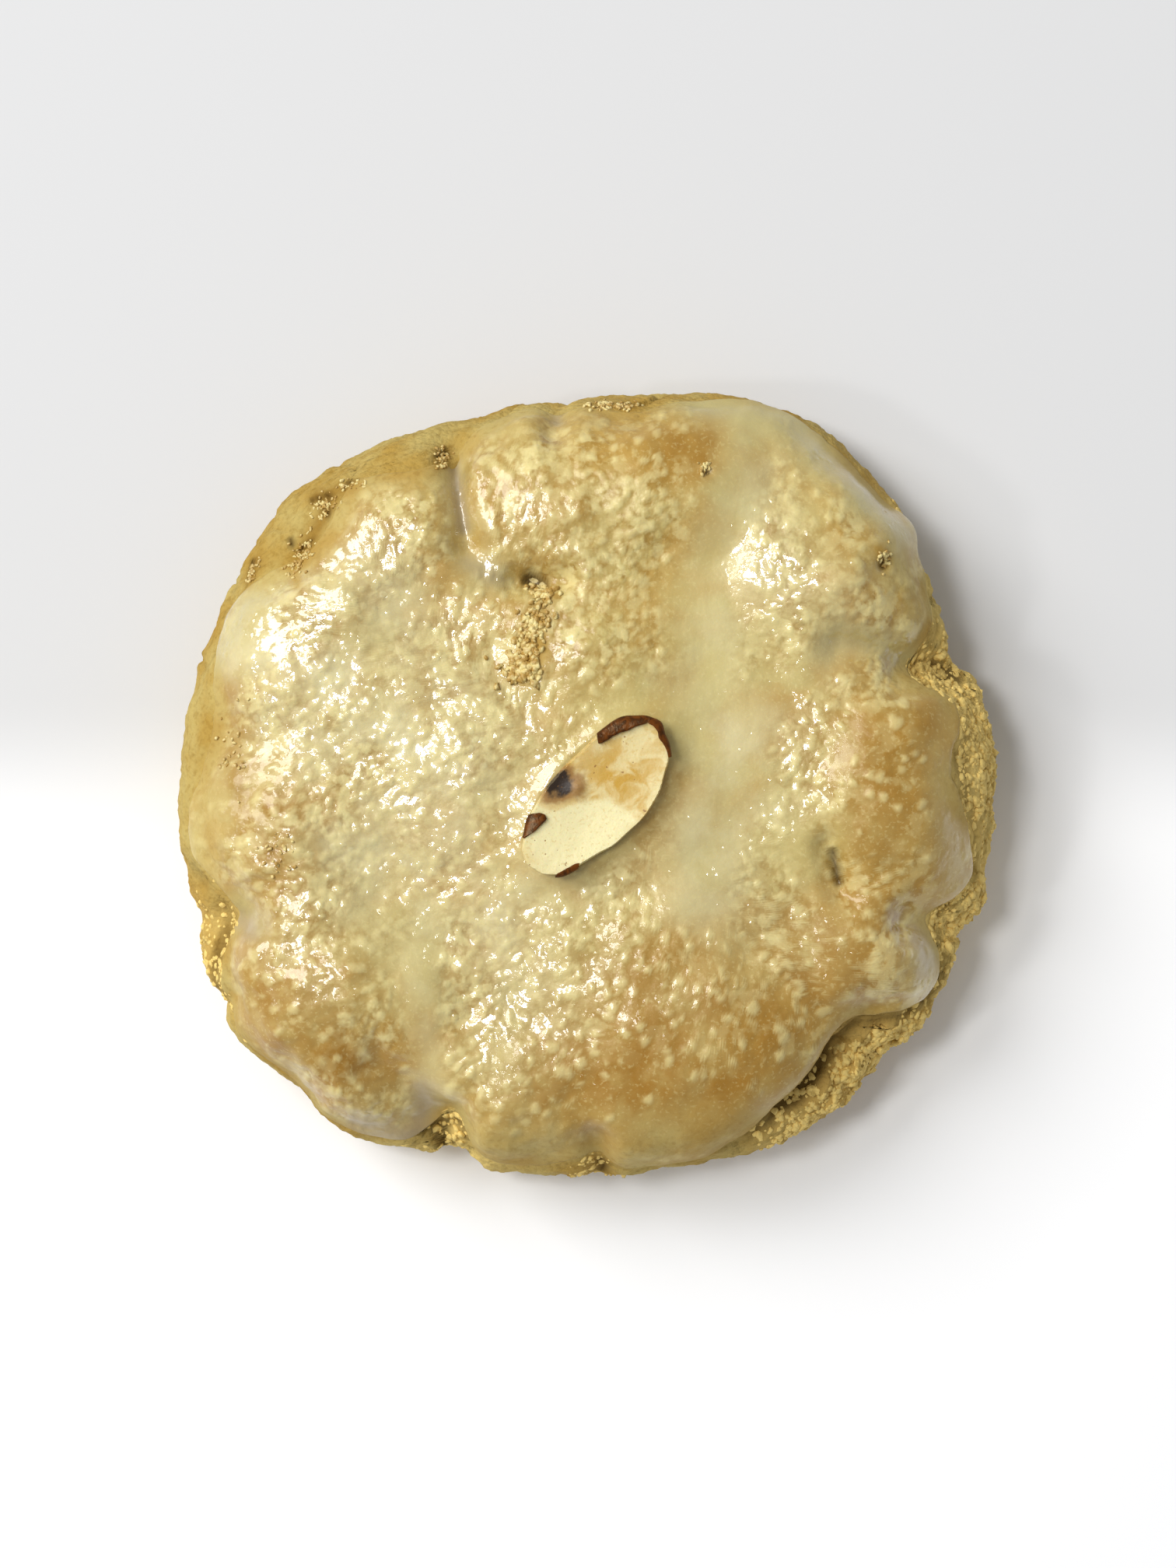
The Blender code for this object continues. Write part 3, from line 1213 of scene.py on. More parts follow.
@dataclass
class DoughBody:
    """The baked dough: the side and rim in full detail, the glazed crown in a coarser skin."""

    form: CakeForm
    finish: DoughFinish
    rings: int = 140
    crown_rings: int = 20
    base_rings: int = 30
    tucked_under: float = 3.0
    sunk_crown: float = 1.6
    gap_middle: float = 1.8
    gap_half_width: float = 1.5
    gap_depth: float = 0.8
    gap_undercut: float = 0.4
    gap_shade: float = 0.75
    deepest_shade: float = 0.85
    fissure_count: int = 26
    fissure_seed: int = 11
    fissure_stray: float = 5.0
    fissure_lean: float = 9.0
    fissure_bend: float = 1.6
    base_inset: float = 0.8
    hollow_depth: float = 0.35
    hollow_wavelength: float = 6.0
    layers: tuple[Roughness, ...] = (
        Roughness(Relief.GRAINS, 4.2, 1.6, "torn"),
        Roughness(Relief.LUMPS, 2.0, 1.3, "torn"),
        Roughness(Relief.GRAINS, 1.5, 0.7, "torn"),
        Roughness(Relief.LUMPS, 2.4, 0.5, "crumb"),
        Roughness(Relief.GRAINS, 1.2, 0.32, "crumb"),
    )
    torn: tuple[Swell, ...] = (
        Swell(12, 14, 0.75),
        Swell(340, 14, 0.8),
        Swell(312, 14, 0.9),
        Swell(250, 9, 0.6),
        Swell(205, 8, 0.38),
        Swell(36, 8, 0.5),
    )
    gaps: tuple[Swell, ...] = (
        Swell(306, 10, 1.6),
        Swell(326, 8, 0.8),
        Swell(16, 6, 0.4),
        Swell(249, 4, 0.9),
        Swell(342, 6, 0.4),
        Swell(2, 8, 0.55),
        Swell(205, 6, 0.8),
        Swell(193, 3, 0.4),
    )
    pits: tuple[Patch, ...] = (
        Patch(-31.4, 32.6, -29.4, 33, 0.4, 0.7),
        Patch(-30, 31.6, -29.5, 30.6, 0.45, 0.8),
        Patch(-27.4, 34.3, -26.4, 34.2, 0.35, 0.6),
        Patch(-34.1, 27.9, -33.7, 27.4, 0.35, 0.6),
        Patch(-32.6, 26.6, -31.7, 27.6, 0.4, 0.6),
        Patch(-33.4, 23.2, -32.4, 23, 0.4, 0.7),
        Patch(-38.6, 25.6, -38.9, 23.8, 0.35, 0.7),
        Patch(-16.9, 37.2, -16.3, 38, 0.4, 0.7),
        Patch(40.4, 13.1, 42.5, 12.6, 1, 1.6),
        Patch(32.9, -31.8, 32.4, -33.2, 1, 1.3),
        Patch(1.6, -43.4, 1.7, -44.4, 0.6, 1.2),
        Patch(-17.6, -39.4, -16.6, -41.8, 1.2, 1.4),
        Patch(33.4, 24.8, 33.9, 25.6, 0.7, 1),
    )
    browned: tuple[Patch, ...] = (
        Patch(-37.2, -24, -27.7, -30.7, 4, 0.6),
        Patch(38.5, 8.5, 38.8, 2, 3, 0.3),
    )
    # Browning round the side: at 204 degrees the crust's own, at 312 degrees painted shade on the side
    # turned away from the lamps.
    browned_and_shaded_side: tuple[Swell, ...] = (
        Swell(312, 16, 0.65),
        Swell(204, 9, 0.4),
    )

    def build(self) -> Piece:
        """Models the dough.

        Returns:
            The finished piece.
        """
        piece = Bench.sheet("almond_dough", self.rings)
        angle, ring = self.form.polar(Bench.points(piece))
        reach = self.form.glaze_reach(angle)
        whole = sum(self.form.lengths(angle))
        split = self.crown_rings / self.rings
        inner = (reach - self.tucked_under) * ring / split
        beyond = (ring - split) / (1.0 - split)
        outer = (reach - self.tucked_under) * (1.0 - beyond) + whole * beyond
        along = np.where(ring <= split, inner, outer)
        past_glaze = smooth_step(along - reach, -0.6, 1.2)
        hidden = 1.0 - smooth_step(along - reach, -2.4, -0.8)
        points = self.form.surface(angle, along, -self.sunk_crown * hidden)
        torn = np.clip(swell_sum(angle, self.torn), 0.0, 1.0) * past_glaze
        off_base = smooth_step(points[:, 2], 0.0, 2.5)
        fissures = self.fissures(angle, along - reach, whole - reach)
        under_lip = hump(along - reach - self.gap_middle, self.gap_half_width)
        shaded_gap = swell_sum(angle, self.gaps) * under_lip
        around = np.radians(angle)
        inwards = fissures * past_glaze * off_base + self.gap_undercut * shaded_gap
        points[:, 0] -= np.cos(around) * inwards
        points[:, 1] -= np.sin(around) * inwards
        points[:, 2] -= self.gap_depth * shaded_gap
        # Painted shade: the crevice under the glaze's lip, and below it the pits, are darkened in this
        # mask.
        dark = np.clip(shaded_gap * self.gap_shade, 0.0, self.deepest_shade)
        for shaded_pit in self.pits:
            dent = hump(distance_to_line(points[:, 0], points[:, 1], shaded_pit), shaded_pit.half_width)
            dent *= past_glaze * smooth_step(points[:, 2], 6.0, 10.0)
            points[:, 2] -= shaded_pit.strength * dent
            dark = np.maximum(dark, self.deepest_shade * dent)
        Bench.paint(piece, Mark.CHAR, dark)
        points[:, 2] = np.maximum(points[:, 2], 0.0)
        points[ring > 1.0 - 1e-6, 2] = 0.0
        Bench.place(piece, points * MM)
        Bench.weigh(piece, "torn", torn * off_base)
        Bench.weigh(piece, "crumb", past_glaze * off_base)
        Bench.roughen(piece, self.layers)
        self.close_base(piece)
        self.paint(piece)
        Bench.dress(piece, self.finish.material())
        return piece

    def fissures(self, angle: Array, below: Array, depth: Array) -> Array:
        """Draws thin wandering splits down the side.

        Args:
            angle: The angle of each vertex.
            below: How far each vertex is beyond the glaze's edge.
            depth: How far the base is beyond the glaze's edge.

        Returns:
            How deep the split is at each vertex.
        """
        draw = random.Random(self.fissure_seed)
        cut = np.zeros_like(angle)
        for index in range(self.fissure_count):
            stray = draw.uniform(-self.fissure_stray, self.fissure_stray)
            heading = index * 360.0 / self.fissure_count + stray
            level = draw.uniform(0.25, 0.75)
            lean = draw.uniform(-self.fissure_lean, self.fissure_lean)
            width = draw.uniform(0.35, 0.6)
            bite = draw.uniform(0.5, 1.1)
            span = draw.uniform(0.18, 0.4)
            share = below / np.maximum(depth, 1.0)
            bend = self.fissure_bend * np.sin(share * draw.uniform(9.0, 16.0) + index)
            course = heading + lean * (share - level) + bend
            arc = turn_between(angle, course) * math.pi / 180.0 * self.form.radius
            cut += bite * hump(arc, width) * hump(share - level, span)
        return cut

    def close_base(self, piece: Piece) -> None:
        """Closes the open foot with a coarser sheet that is slightly uneven, as baked on a tray.

        Args:
            piece: The dough, open at its foot.
        """
        lid = Bench.sheet("base", self.base_rings)
        angle, ring = self.form.polar(Bench.points(lid))
        foot = self.form.outline(angle) - self.form.base_tuck - self.base_inset
        around = np.radians(angle)
        x, y = foot * ring * np.cos(around), foot * ring * np.sin(around)
        flat = rows_at(x, y, 0.0)
        uneven = np.clip(noise_at(flat, self.hollow_wavelength) + 0.1, 0.0, 1.0)
        flat[:, 2] = self.hollow_depth * uneven * smooth_step(1.0 - ring, 0.02, 0.1)
        Bench.place(lid, flat * MM)
        Bench.close_with(piece, lid)

    def paint(self, piece: Piece) -> None:
        """Paints the torn crumb, the browned tops and sides, one side darkened as painted shade, and the
        sandy patches.

        Args:
            piece: The dough.
        """
        x, y, level = (Bench.points(piece) / MM).T
        angle = np.degrees(np.arctan2(y, x)) % 360.0
        # Real browning, and the painted shade of the side turned away from the lamps.
        browned = np.maximum(patch_mask(x, y, self.browned), swell_sum(angle, self.browned_and_shaded_side))
        Bench.paint(piece, Mark.CRUMB, swell_sum(angle, self.torn))
        Bench.paint(piece, Mark.TOAST, browned)
        Bench.paint(piece, Mark.SAND, patch_mask(x, y, SANDY) * smooth_step(level, 8.0, 12.0))


@dataclass
class GlazeCoat:
    """The glaze: a thin film over the crown that swells into lips and drips along its edge."""

    form: CakeForm
    finish: GlazeFinish
    rings: int = 140
    under_rings: int = 28
    film: float = 1.15
    edge_film: float = 0.08
    thinning: float = 7.0
    edge_crowding: float = 0.3
    lips: tuple[Swell, ...] = (
        Swell(346, 7, 0.5),
        Swell(6, 7, 0.25),
        Swell(329, 5, 0.3),
        Swell(305, 14, 0.4),
        Swell(37, 4, 0.8),
        Swell(62, 8, 0.25),
        Swell(156, 7, 0.4),
        Swell(190, 8, 0.35),
        Swell(240, 5, 0.3),
    )
    toasted: tuple[Patch, ...] = (
        Patch(10, 38.3, 12.8, 37.8, 3.6, 0.95),
        Patch(37.6, 10, 38.3, 3, 2.6, 0.7),
        Patch(31, -4, 31.7, -7, 2.6, 0.6),
        Patch(0, -33.8, 16, -33.6, 4.6, 0.95),
        Patch(-6, -34, 20, -30, 8, 0.72),
        Patch(2, -22, 20, -22, 7, 0.48),
        Patch(33, 4, 36, -10, 6.5, 0.7),
        Patch(-4, -42, 20, -40, 4, 0.45),
        Patch(26, -16, 30, -24, 6, 0.4),
        Patch(-36, -20, -24, -30, 6, 0.3),
        Patch(7, -33.6, 10, -33.4, 4, 0.5),
        Patch(-37.2, -24, -27.7, -30.7, 3, 0.75),
        Patch(-38.5, -24, -35.5, -29.5, 2.8, 0.5),
        Patch(-35.5, -29.5, -27, -34.5, 3, 0.5),
        Patch(-27.7, -30.7, -23, -32.8, 2.6, 0.7),
        Patch(-36, -3, -34.5, -11, 3.4, 0.8),
        Patch(-40.8, 10, -39.4, -1, 2.4, 0.75),
        Patch(30.3, -20, 28, -24, 3.4, 0.5),
        Patch(30, 5.5, 33, 7, 4, 0.35),
        Patch(-33, -20, -28, -22, 5, 0.35),
        Patch(-7, 32, 3, 33, 5, 0.22),
        Patch(4, -24, 22, -26, 6, 0.3),
    )
    milky: tuple[Patch, ...] = (
        Patch(13, 43.7, 23.5, 41.2, 2.4, 0.85),
        Patch(23.5, 41.2, 31, 32, 2, 0.7),
        Patch(31, 32, 36, 28.6, 1.8, 0.75),
        Patch(-15.2, 36, -13.9, 29, 1.5, 0.6),
        Patch(-13.5, 25, -10.5, 23.5, 1.7, 0.6),
        Patch(28.5, 17.5, 36.5, 14.6, 1.8, 0.7),
        Patch(-25, -39, -19, -40.5, 1.8, 0.2),
        Patch(37.6, -17.6, 38.6, -20.4, 2, 0.3),
        Patch(-39.5, -13.6, -37.4, -16.2, 2, 0.5),
        Patch(-38, 21.5, -43, 13, 1.4, 0.5),
        Patch(39.5, 4, 42, -12, 1.8, 0.2),
        Patch(-9.5, -24, -9.5, -32, 2.4, 0.35),
        Patch(16, 0, 13, -11, 3, 0.25),
        Patch(18, 40, 13, 22, 2.4, 0.2),
    )
    dried: tuple[Patch, ...] = (
        Patch(-14, -41, -2, -42.5, 4, 0.7),
        Patch(4, -42, 18, -39.5, 3.4, 0.75),
        Patch(-44, 4, -43, -14, 2.6, 0.6),
        Patch(-43, -20, -40, -25, 2.2, 0.5),
        Patch(-36, 28, -22, 37, 3.6, 0.6),
        Patch(-10, 41, 10, 42, 2.4, 0.5),
        Patch(34, 27, 38, 20, 2.6, 0.5),
    )
    # Paler, clearer glaze in the valleys; the broad patches on the left half, which faces the lamps, are
    # painted light.
    pale: tuple[Patch, ...] = (
        Patch(-34, 11, -18, 3, 9.5, 0.95),
        Patch(-26, 24, -18, 16, 5, 0.6),
        Patch(-28, -8, -10, -12, 8, 0.6),
        Patch(-10, -16, -4, -28, 5, 0.6),
        Patch(17, 4, 13, -13, 6, 0.8),
        Patch(20, 38, 14, 16, 5, 0.5),
        Patch(22, 24, 28, 18, 5, 0.45),
        Patch(-19, -20, -17.5, -34, 3, 0.5),
    )
    wet: tuple[Patch, ...] = (
        Patch(-36, 14, -12, 4, 12, 1.2),
        Patch(-28, 26, -20, 24, 6, 1),
        Patch(-30, -12, -12, -8, 9, 1.1),
        Patch(-10, -14, 0, -30, 6.5, 1),
        Patch(21, 27, 28, 16, 6, 1),
        Patch(22, -2, 24, 8, 4.6, 1.1),
        Patch(8, 12, 16, 6, 2.2, 0.9),
        Patch(16, -12, 27, -20, 6, 1),
        Patch(11, -6, -1, -14, 2.6, 1),
        Patch(-4, -24, 14, -24, 5, 0.8),
        Patch(-36, -18, -26, -28, 6, 0.7),
        Patch(40.5, 2, 42, -14, 3, 1),
        Patch(28, 17, 43, 13, 2.6, 1),
        Patch(35, -16, 40, -26, 4, 0.9),
        Patch(26, 40, 36, 29, 3, 0.8),
        Patch(-15.4, 37, -11, 23, 2.2, 1),
        Patch(-33, -34, -14, -40, 3, 0.5),
        Patch(-14, -24, -9, -35, 3.5, 1),
        Patch(-8, 32, -4, 28, 5, 0.45),
    )
    pools: tuple[Patch, ...] = (
        Patch(-15.4, 36.6, -14, 29, 0.8, 0.9),
        Patch(-13.5, 25, -10.8, 23.6, 1.1, 0.5),
        Patch(-26.5, -38.6, -19.5, -41, 1.5, 0.8),
        Patch(-19.5, -41, -18.8, -35, 1.6, 0.8),
        Patch(37.6, -17.6, 38.6, -20.4, 1.3, 0.7),
        Patch(-39.6, -15.6, -38.4, -16.4, 1.4, 0.8),
        Patch(-3.4, 44, -3.6, 41.5, 0.8, 0.7),
    )
    rivers: tuple[Patch, ...] = (
        Patch(18.4, 40.1, 13, 22, 4.6, 1),
        Patch(13, 22, 15.8, 0.5, 4.6, 1),
        Patch(15.8, 0.5, 12, -12, 4.6, 1),
        Patch(-19.4, -19, -17.6, -37.3, 2.6, 1),
        Patch(30, 16, 19, 8, 2.8, 0.9),
        Patch(26, 40, 35, 29, 2.6, 0.9),
        Patch(39, 11.3, 41.6, -13, 2.6, 0.9),
        Patch(-4.5, -9, 7.5, 7.5, 6, 1),
        Patch(4, -38, 19, -37.5, 3.4, 0.8),
        Patch(24, -6, 27, -15, 2.4, 0.7),
        Patch(-14, 24.5, -26, 16, 2, 0.6),
        Patch(-14, -2, -26, -16, 2.4, 0.5),
        Patch(-16, 38, -13, 26, 2, 0.9),
        Patch(-40.5, 12, -38, 20, 1.6, 0.7),
    )
    holes: tuple[Patch, ...] = (
        Patch(-6.6, 23.2, -5.2, 22.5, 0.75, 1.5),
        Patch(33.4, 24.8, 33.8, 25.4, 0.5, 1.2),
        Patch(13.4, 35.2, 13.6, 35.2, 0.3, 0.7),
        Patch(27.8, -7.8, 28.5, -11.2, 0.5, 1),
        Patch(-32.6, 32.3, -31.4, 31.2, 0.45, 0.6),
        Patch(-33.6, 27.6, -32.8, 26.6, 0.35, 0.5),
        Patch(-16.9, 37.2, -16.3, 38, 0.45, 0.7),
        Patch(-28.6, 34.2, -27.6, 34, 0.35, 0.5),
    )
    groove: Patch = Patch(-15.4, 37.2, -14.0, 28.6, 0.6, 0.5)
    layers: tuple[Roughness, ...] = (
        Roughness(Relief.GRAINS, 5.5, 0.5, "soft"),
        Roughness(Relief.LUMPS, 3.0, 0.66, "wet"),
        Roughness(Relief.LUMPS, 1.6, 0.12, "grain"),
    )
    rim_noise: float = 0.55
    rim_wavelength: float = 3.2
    rim_fine_wavelength: float = 1.5
    edge_sunk: float = 0.35
    lip_middle: float = 1.5
    lip_half_width: float = 1.2
    lip_bulge: float = 0.3
    nose_length: float = 0.3
    nose_per_lip: float = 0.8
    bead_pitch: float = 1.0
    bead_field: float = 46.0
    bead_seed: int = 23
    smallest_bead: float = 0.3
    largest_bead: float = 0.8
    bead_height: float = 0.17
    bead_warp: float = 0.45
    bead_warp_wavelength: float = 1.3
    seat_half_length: float = 11.1
    seat_half_width: float = 5.4
    climb: float = 0.4
    climb_reach: float = 0.8
    climb_under: float = 0.6
    under_inset: float = 0.5
    under_depth: float = 0.6
    under_rim_rise: float = 0.2

    def reach(self, angle: Array) -> Array:
        """Gives how far the film runs along the section, with its fine uneven edge.

        Args:
            angle: The angles, in degrees.

        Returns:
            The distance from the middle of the crown at each angle.
        """
        around = np.radians(angle)
        circle = rows_at(np.cos(around), np.sin(around), 0.0) * self.form.radius
        wobble = noise_at(circle, self.rim_wavelength) + 0.5 * noise_at(circle, self.rim_fine_wavelength)
        return self.form.glaze_reach(angle) + self.rim_noise * wobble

    def lift(self, angle: Array, from_edge: Array) -> Array:
        """Gives how high the film's top lies over the dough.

        Args:
            angle: The angle of each vertex.
            from_edge: Its distance along the section from the film's edge.

        Returns:
            The lift of each vertex.
        """
        lip = self.edge_film + np.maximum(0.0, swell_sum(angle, self.lips))
        inland = smooth_step(from_edge, 0.0, self.thinning)
        lift = lip + (self.film - lip) * inland
        bulge = hump(from_edge - self.lip_middle, self.lip_half_width)
        swell = self.lip_bulge * np.maximum(0.0, lip - self.edge_film) * bulge
        nose = self.nose_length + self.nose_per_lip * lip
        fall = np.clip(1.0 - from_edge / nose, 0.0, 1.0)
        rounded = np.sqrt(np.maximum(0.0, 1.0 - fall**2))
        return (lift + swell + self.edge_sunk) * rounded - self.edge_sunk

    def build(self) -> Piece:
        """Models the glaze.

        Returns:
            The finished piece.
        """
        piece = Bench.sheet("sugar_glaze", self.rings)
        angle, ring = self.form.polar(Bench.points(piece))
        reach = self.reach(angle)
        along = reach * ring * (1.0 + self.edge_crowding * (1.0 - ring))
        from_edge = reach - along
        points = self.form.surface(angle, along, self.lift(angle, from_edge))
        x, y = points[:, 0].copy(), points[:, 1].copy()
        for hole in self.holes:
            points[:, 2] -= hole.strength * hump(distance_to_line(x, y, hole), hole.half_width)
        groove = hump(distance_to_line(x, y, self.groove), self.groove.half_width)
        points[:, 2] += self.meniscus(x, y) - self.groove.strength * groove
        Bench.place(piece, points * MM)
        grain = self.grain(x, y)
        inland = smooth_step(from_edge, 0.6, 3.0)
        rough = self.roughness(x, y)
        Bench.weigh(piece, "soft", inland * (0.3 + 0.7 * rough))
        Bench.weigh(piece, "wet", inland * self.wetness(x) * (0.15 + 0.85 * rough))
        Bench.weigh(piece, "grain", inland * grain)
        Bench.roughen(piece, self.layers)
        bead = self.beads(x, y) * inland
        points = Bench.points(piece)
        points[:, 2] += bead * self.bead_height * MM
        Bench.place(piece, points)
        lip = np.clip(swell_sum(angle, self.lips) * 2.5, 0.0, 1.0)
        crowding = 1.0 - smooth_step(from_edge, 0.6, 5.0)
        Bench.paint(piece, Mark.BEAD, bead * 1.4)
        Bench.paint(piece, Mark.DRY, np.maximum(crowding * (1.0 - lip), patch_mask(x, y, self.dried)))
        self.paint(piece)
        self.close_under(piece)
        Bench.dress(piece, self.finish.material())
        return piece

    def roughness(self, x: Array, y: Array) -> Array:
        """Gives where the film is uneven: everywhere but in the smooth rivers between the lobes."""
        return 1.0 - patch_mask(x, y, self.rivers)

    def grain(self, x: Array, y: Array) -> Array:
        """Gives how strongly the dough's grains show through the film.

        Args:
            x: The points' first coordinate.
            y: The points' second coordinate.

        Returns:
            A share from 0 to 1 for each point.
        """
        flat = rows_at(x, y, 40.0)
        uneven = 0.62 + 0.75 * noise_at(flat, 6.0) + 0.3 * noise_at(flat, 2.5)
        browned = 0.88 * patch_mask(x, y, self.toasted)
        return np.clip(uneven * self.roughness(x, y) * (1.0 - browned), 0.0, 1.0)

    def beads(self, x: Array, y: Array) -> Array:
        """Raises single rounded grains, crowded where the grain is strong and rare elsewhere.

        Args:
            x: The film's points, first coordinate.
            y: The film's points, second coordinate.

        Returns:
            A height from 0 to 1 for each point.
        """
        draw = np.random.default_rng(self.bead_seed)
        across = np.arange(-self.bead_field, self.bead_field, self.bead_pitch)
        grid = np.stack(np.meshgrid(across, across), -1).reshape(-1, 2)
        grid += draw.uniform(-0.5, 0.5, grid.shape) * self.bead_pitch
        chance = 0.05 + 0.9 * self.grain(grid[:, 0], grid[:, 1])
        chance += 0.3 * patch_mask(grid[:, 0], grid[:, 1], self.wet)
        chance *= np.clip(self.roughness(grid[:, 0], grid[:, 1]) * 2.0 - 0.6, 0.0, 1.0)
        kept = grid[draw.random(len(grid)) < chance]
        growth = self.largest_bead - self.smallest_bead
        sizes = self.smallest_bead + growth * draw.random(len(kept)) ** 1.8
        tree = KDTree(len(kept))
        for index, (bead_x, bead_y) in enumerate(kept.tolist()):
            tree.insert((bead_x, bead_y, 0.0), index)
        tree.balance()
        height = np.zeros_like(x)
        flat = rows_at(x, y, 17.0)
        warp_x = self.bead_warp * noise_at(flat, self.bead_warp_wavelength)
        warp_y = self.bead_warp * noise_at(-flat, self.bead_warp_wavelength)
        warped = rows_at(x + warp_x, y + warp_y, 0.0)
        for index, point in enumerate(warped.tolist()):
            _, bead, away = tree.find(point)
            share = away / sizes[bead]
            if share < 1.0:
                height[index] = (1.0 - share * share) * sizes[bead] / self.largest_bead
        return height

    def wetness(self, x: Array) -> Array:
        """Gives where the film has run into ripples: most on the left, less elsewhere."""
        return 0.45 + 0.55 * smooth_step(-x, -6.0, 14.0)

    def meniscus(self, x: Array, y: Array) -> Array:
        """Gives how far the film climbs against the almond's rim.

        Args:
            x: The film's points, first coordinate.
            y: The film's points, second coordinate.

        Returns:
            The lift of each point.
        """
        turn = math.radians(ALMOND_TURN)
        across, up = x - ALMOND_CENTRE[0], y - ALMOND_CENTRE[1]
        u = across * math.cos(turn) + up * math.sin(turn)
        v = -across * math.sin(turn) + up * math.cos(turn)
        away = (np.hypot(u / self.seat_half_length, v / self.seat_half_width) - 1.0) * self.seat_half_width
        return self.climb * hump(np.maximum(away, -self.climb_under), self.climb_reach)

    def close_under(self, piece: Piece) -> None:
        """Closes the film with its coarser underside, which lies in the dough.

        Args:
            piece: The film, open below.
        """
        lid = Bench.sheet("underside", self.under_rings)
        angle, ring = self.form.polar(Bench.points(lid))
        along = (self.reach(angle) - self.under_inset) * ring
        lift = self.under_rim_rise * smooth_step(ring, 0.85, 1.0) - self.under_depth
        points = self.form.surface(angle, along, lift)
        Bench.place(lid, points * MM)
        Bench.close_with(piece, lid)

    def paint(self, piece: Piece) -> None:
        """Paints the glaze's masks that follow the plan alone.

        Args:
            piece: The glaze.
        """
        x, y, _ = (Bench.points(piece) / MM).T
        mottle = noise_at(rows_at(x, y, 90.0), 4.0)
        plain = 1.0 - 0.8 * patch_mask(x, y, self.toasted)
        masks = (
            (Mark.TOAST, self.toasted, 0.3, 1.0),
            (Mark.MILK, self.milky, 0.25, 1.0),
            (Mark.SAND, SANDY, 0.5, 1.0),
            # This mask is partly painted light on the lit left half.
            (Mark.PALE, self.pale, 0.3, plain),
            (Mark.WET, self.wet, 0.5, plain),
            (Mark.POOL, self.pools, 0.0, 1.0),
            # Painted shade: the holes are darkened as well as sunk in the film.
            (Mark.CHAR, self.holes, 0.0, 0.8),
        )
        for mark, patches, uneven, share in masks:
            Bench.paint(piece, mark, patch_mask(x, y, patches) * (1.0 + uneven * mottle) * share)
        Bench.paint(piece, Mark.GRAIN, self.grain(x, y))


class Rind(NamedTuple):
    """A stretch of the slice's rim that kept its skin, and how far the skin reaches over the rim."""

    start: float
    end: float
    start_width: float
    end_width: float
    droop: float


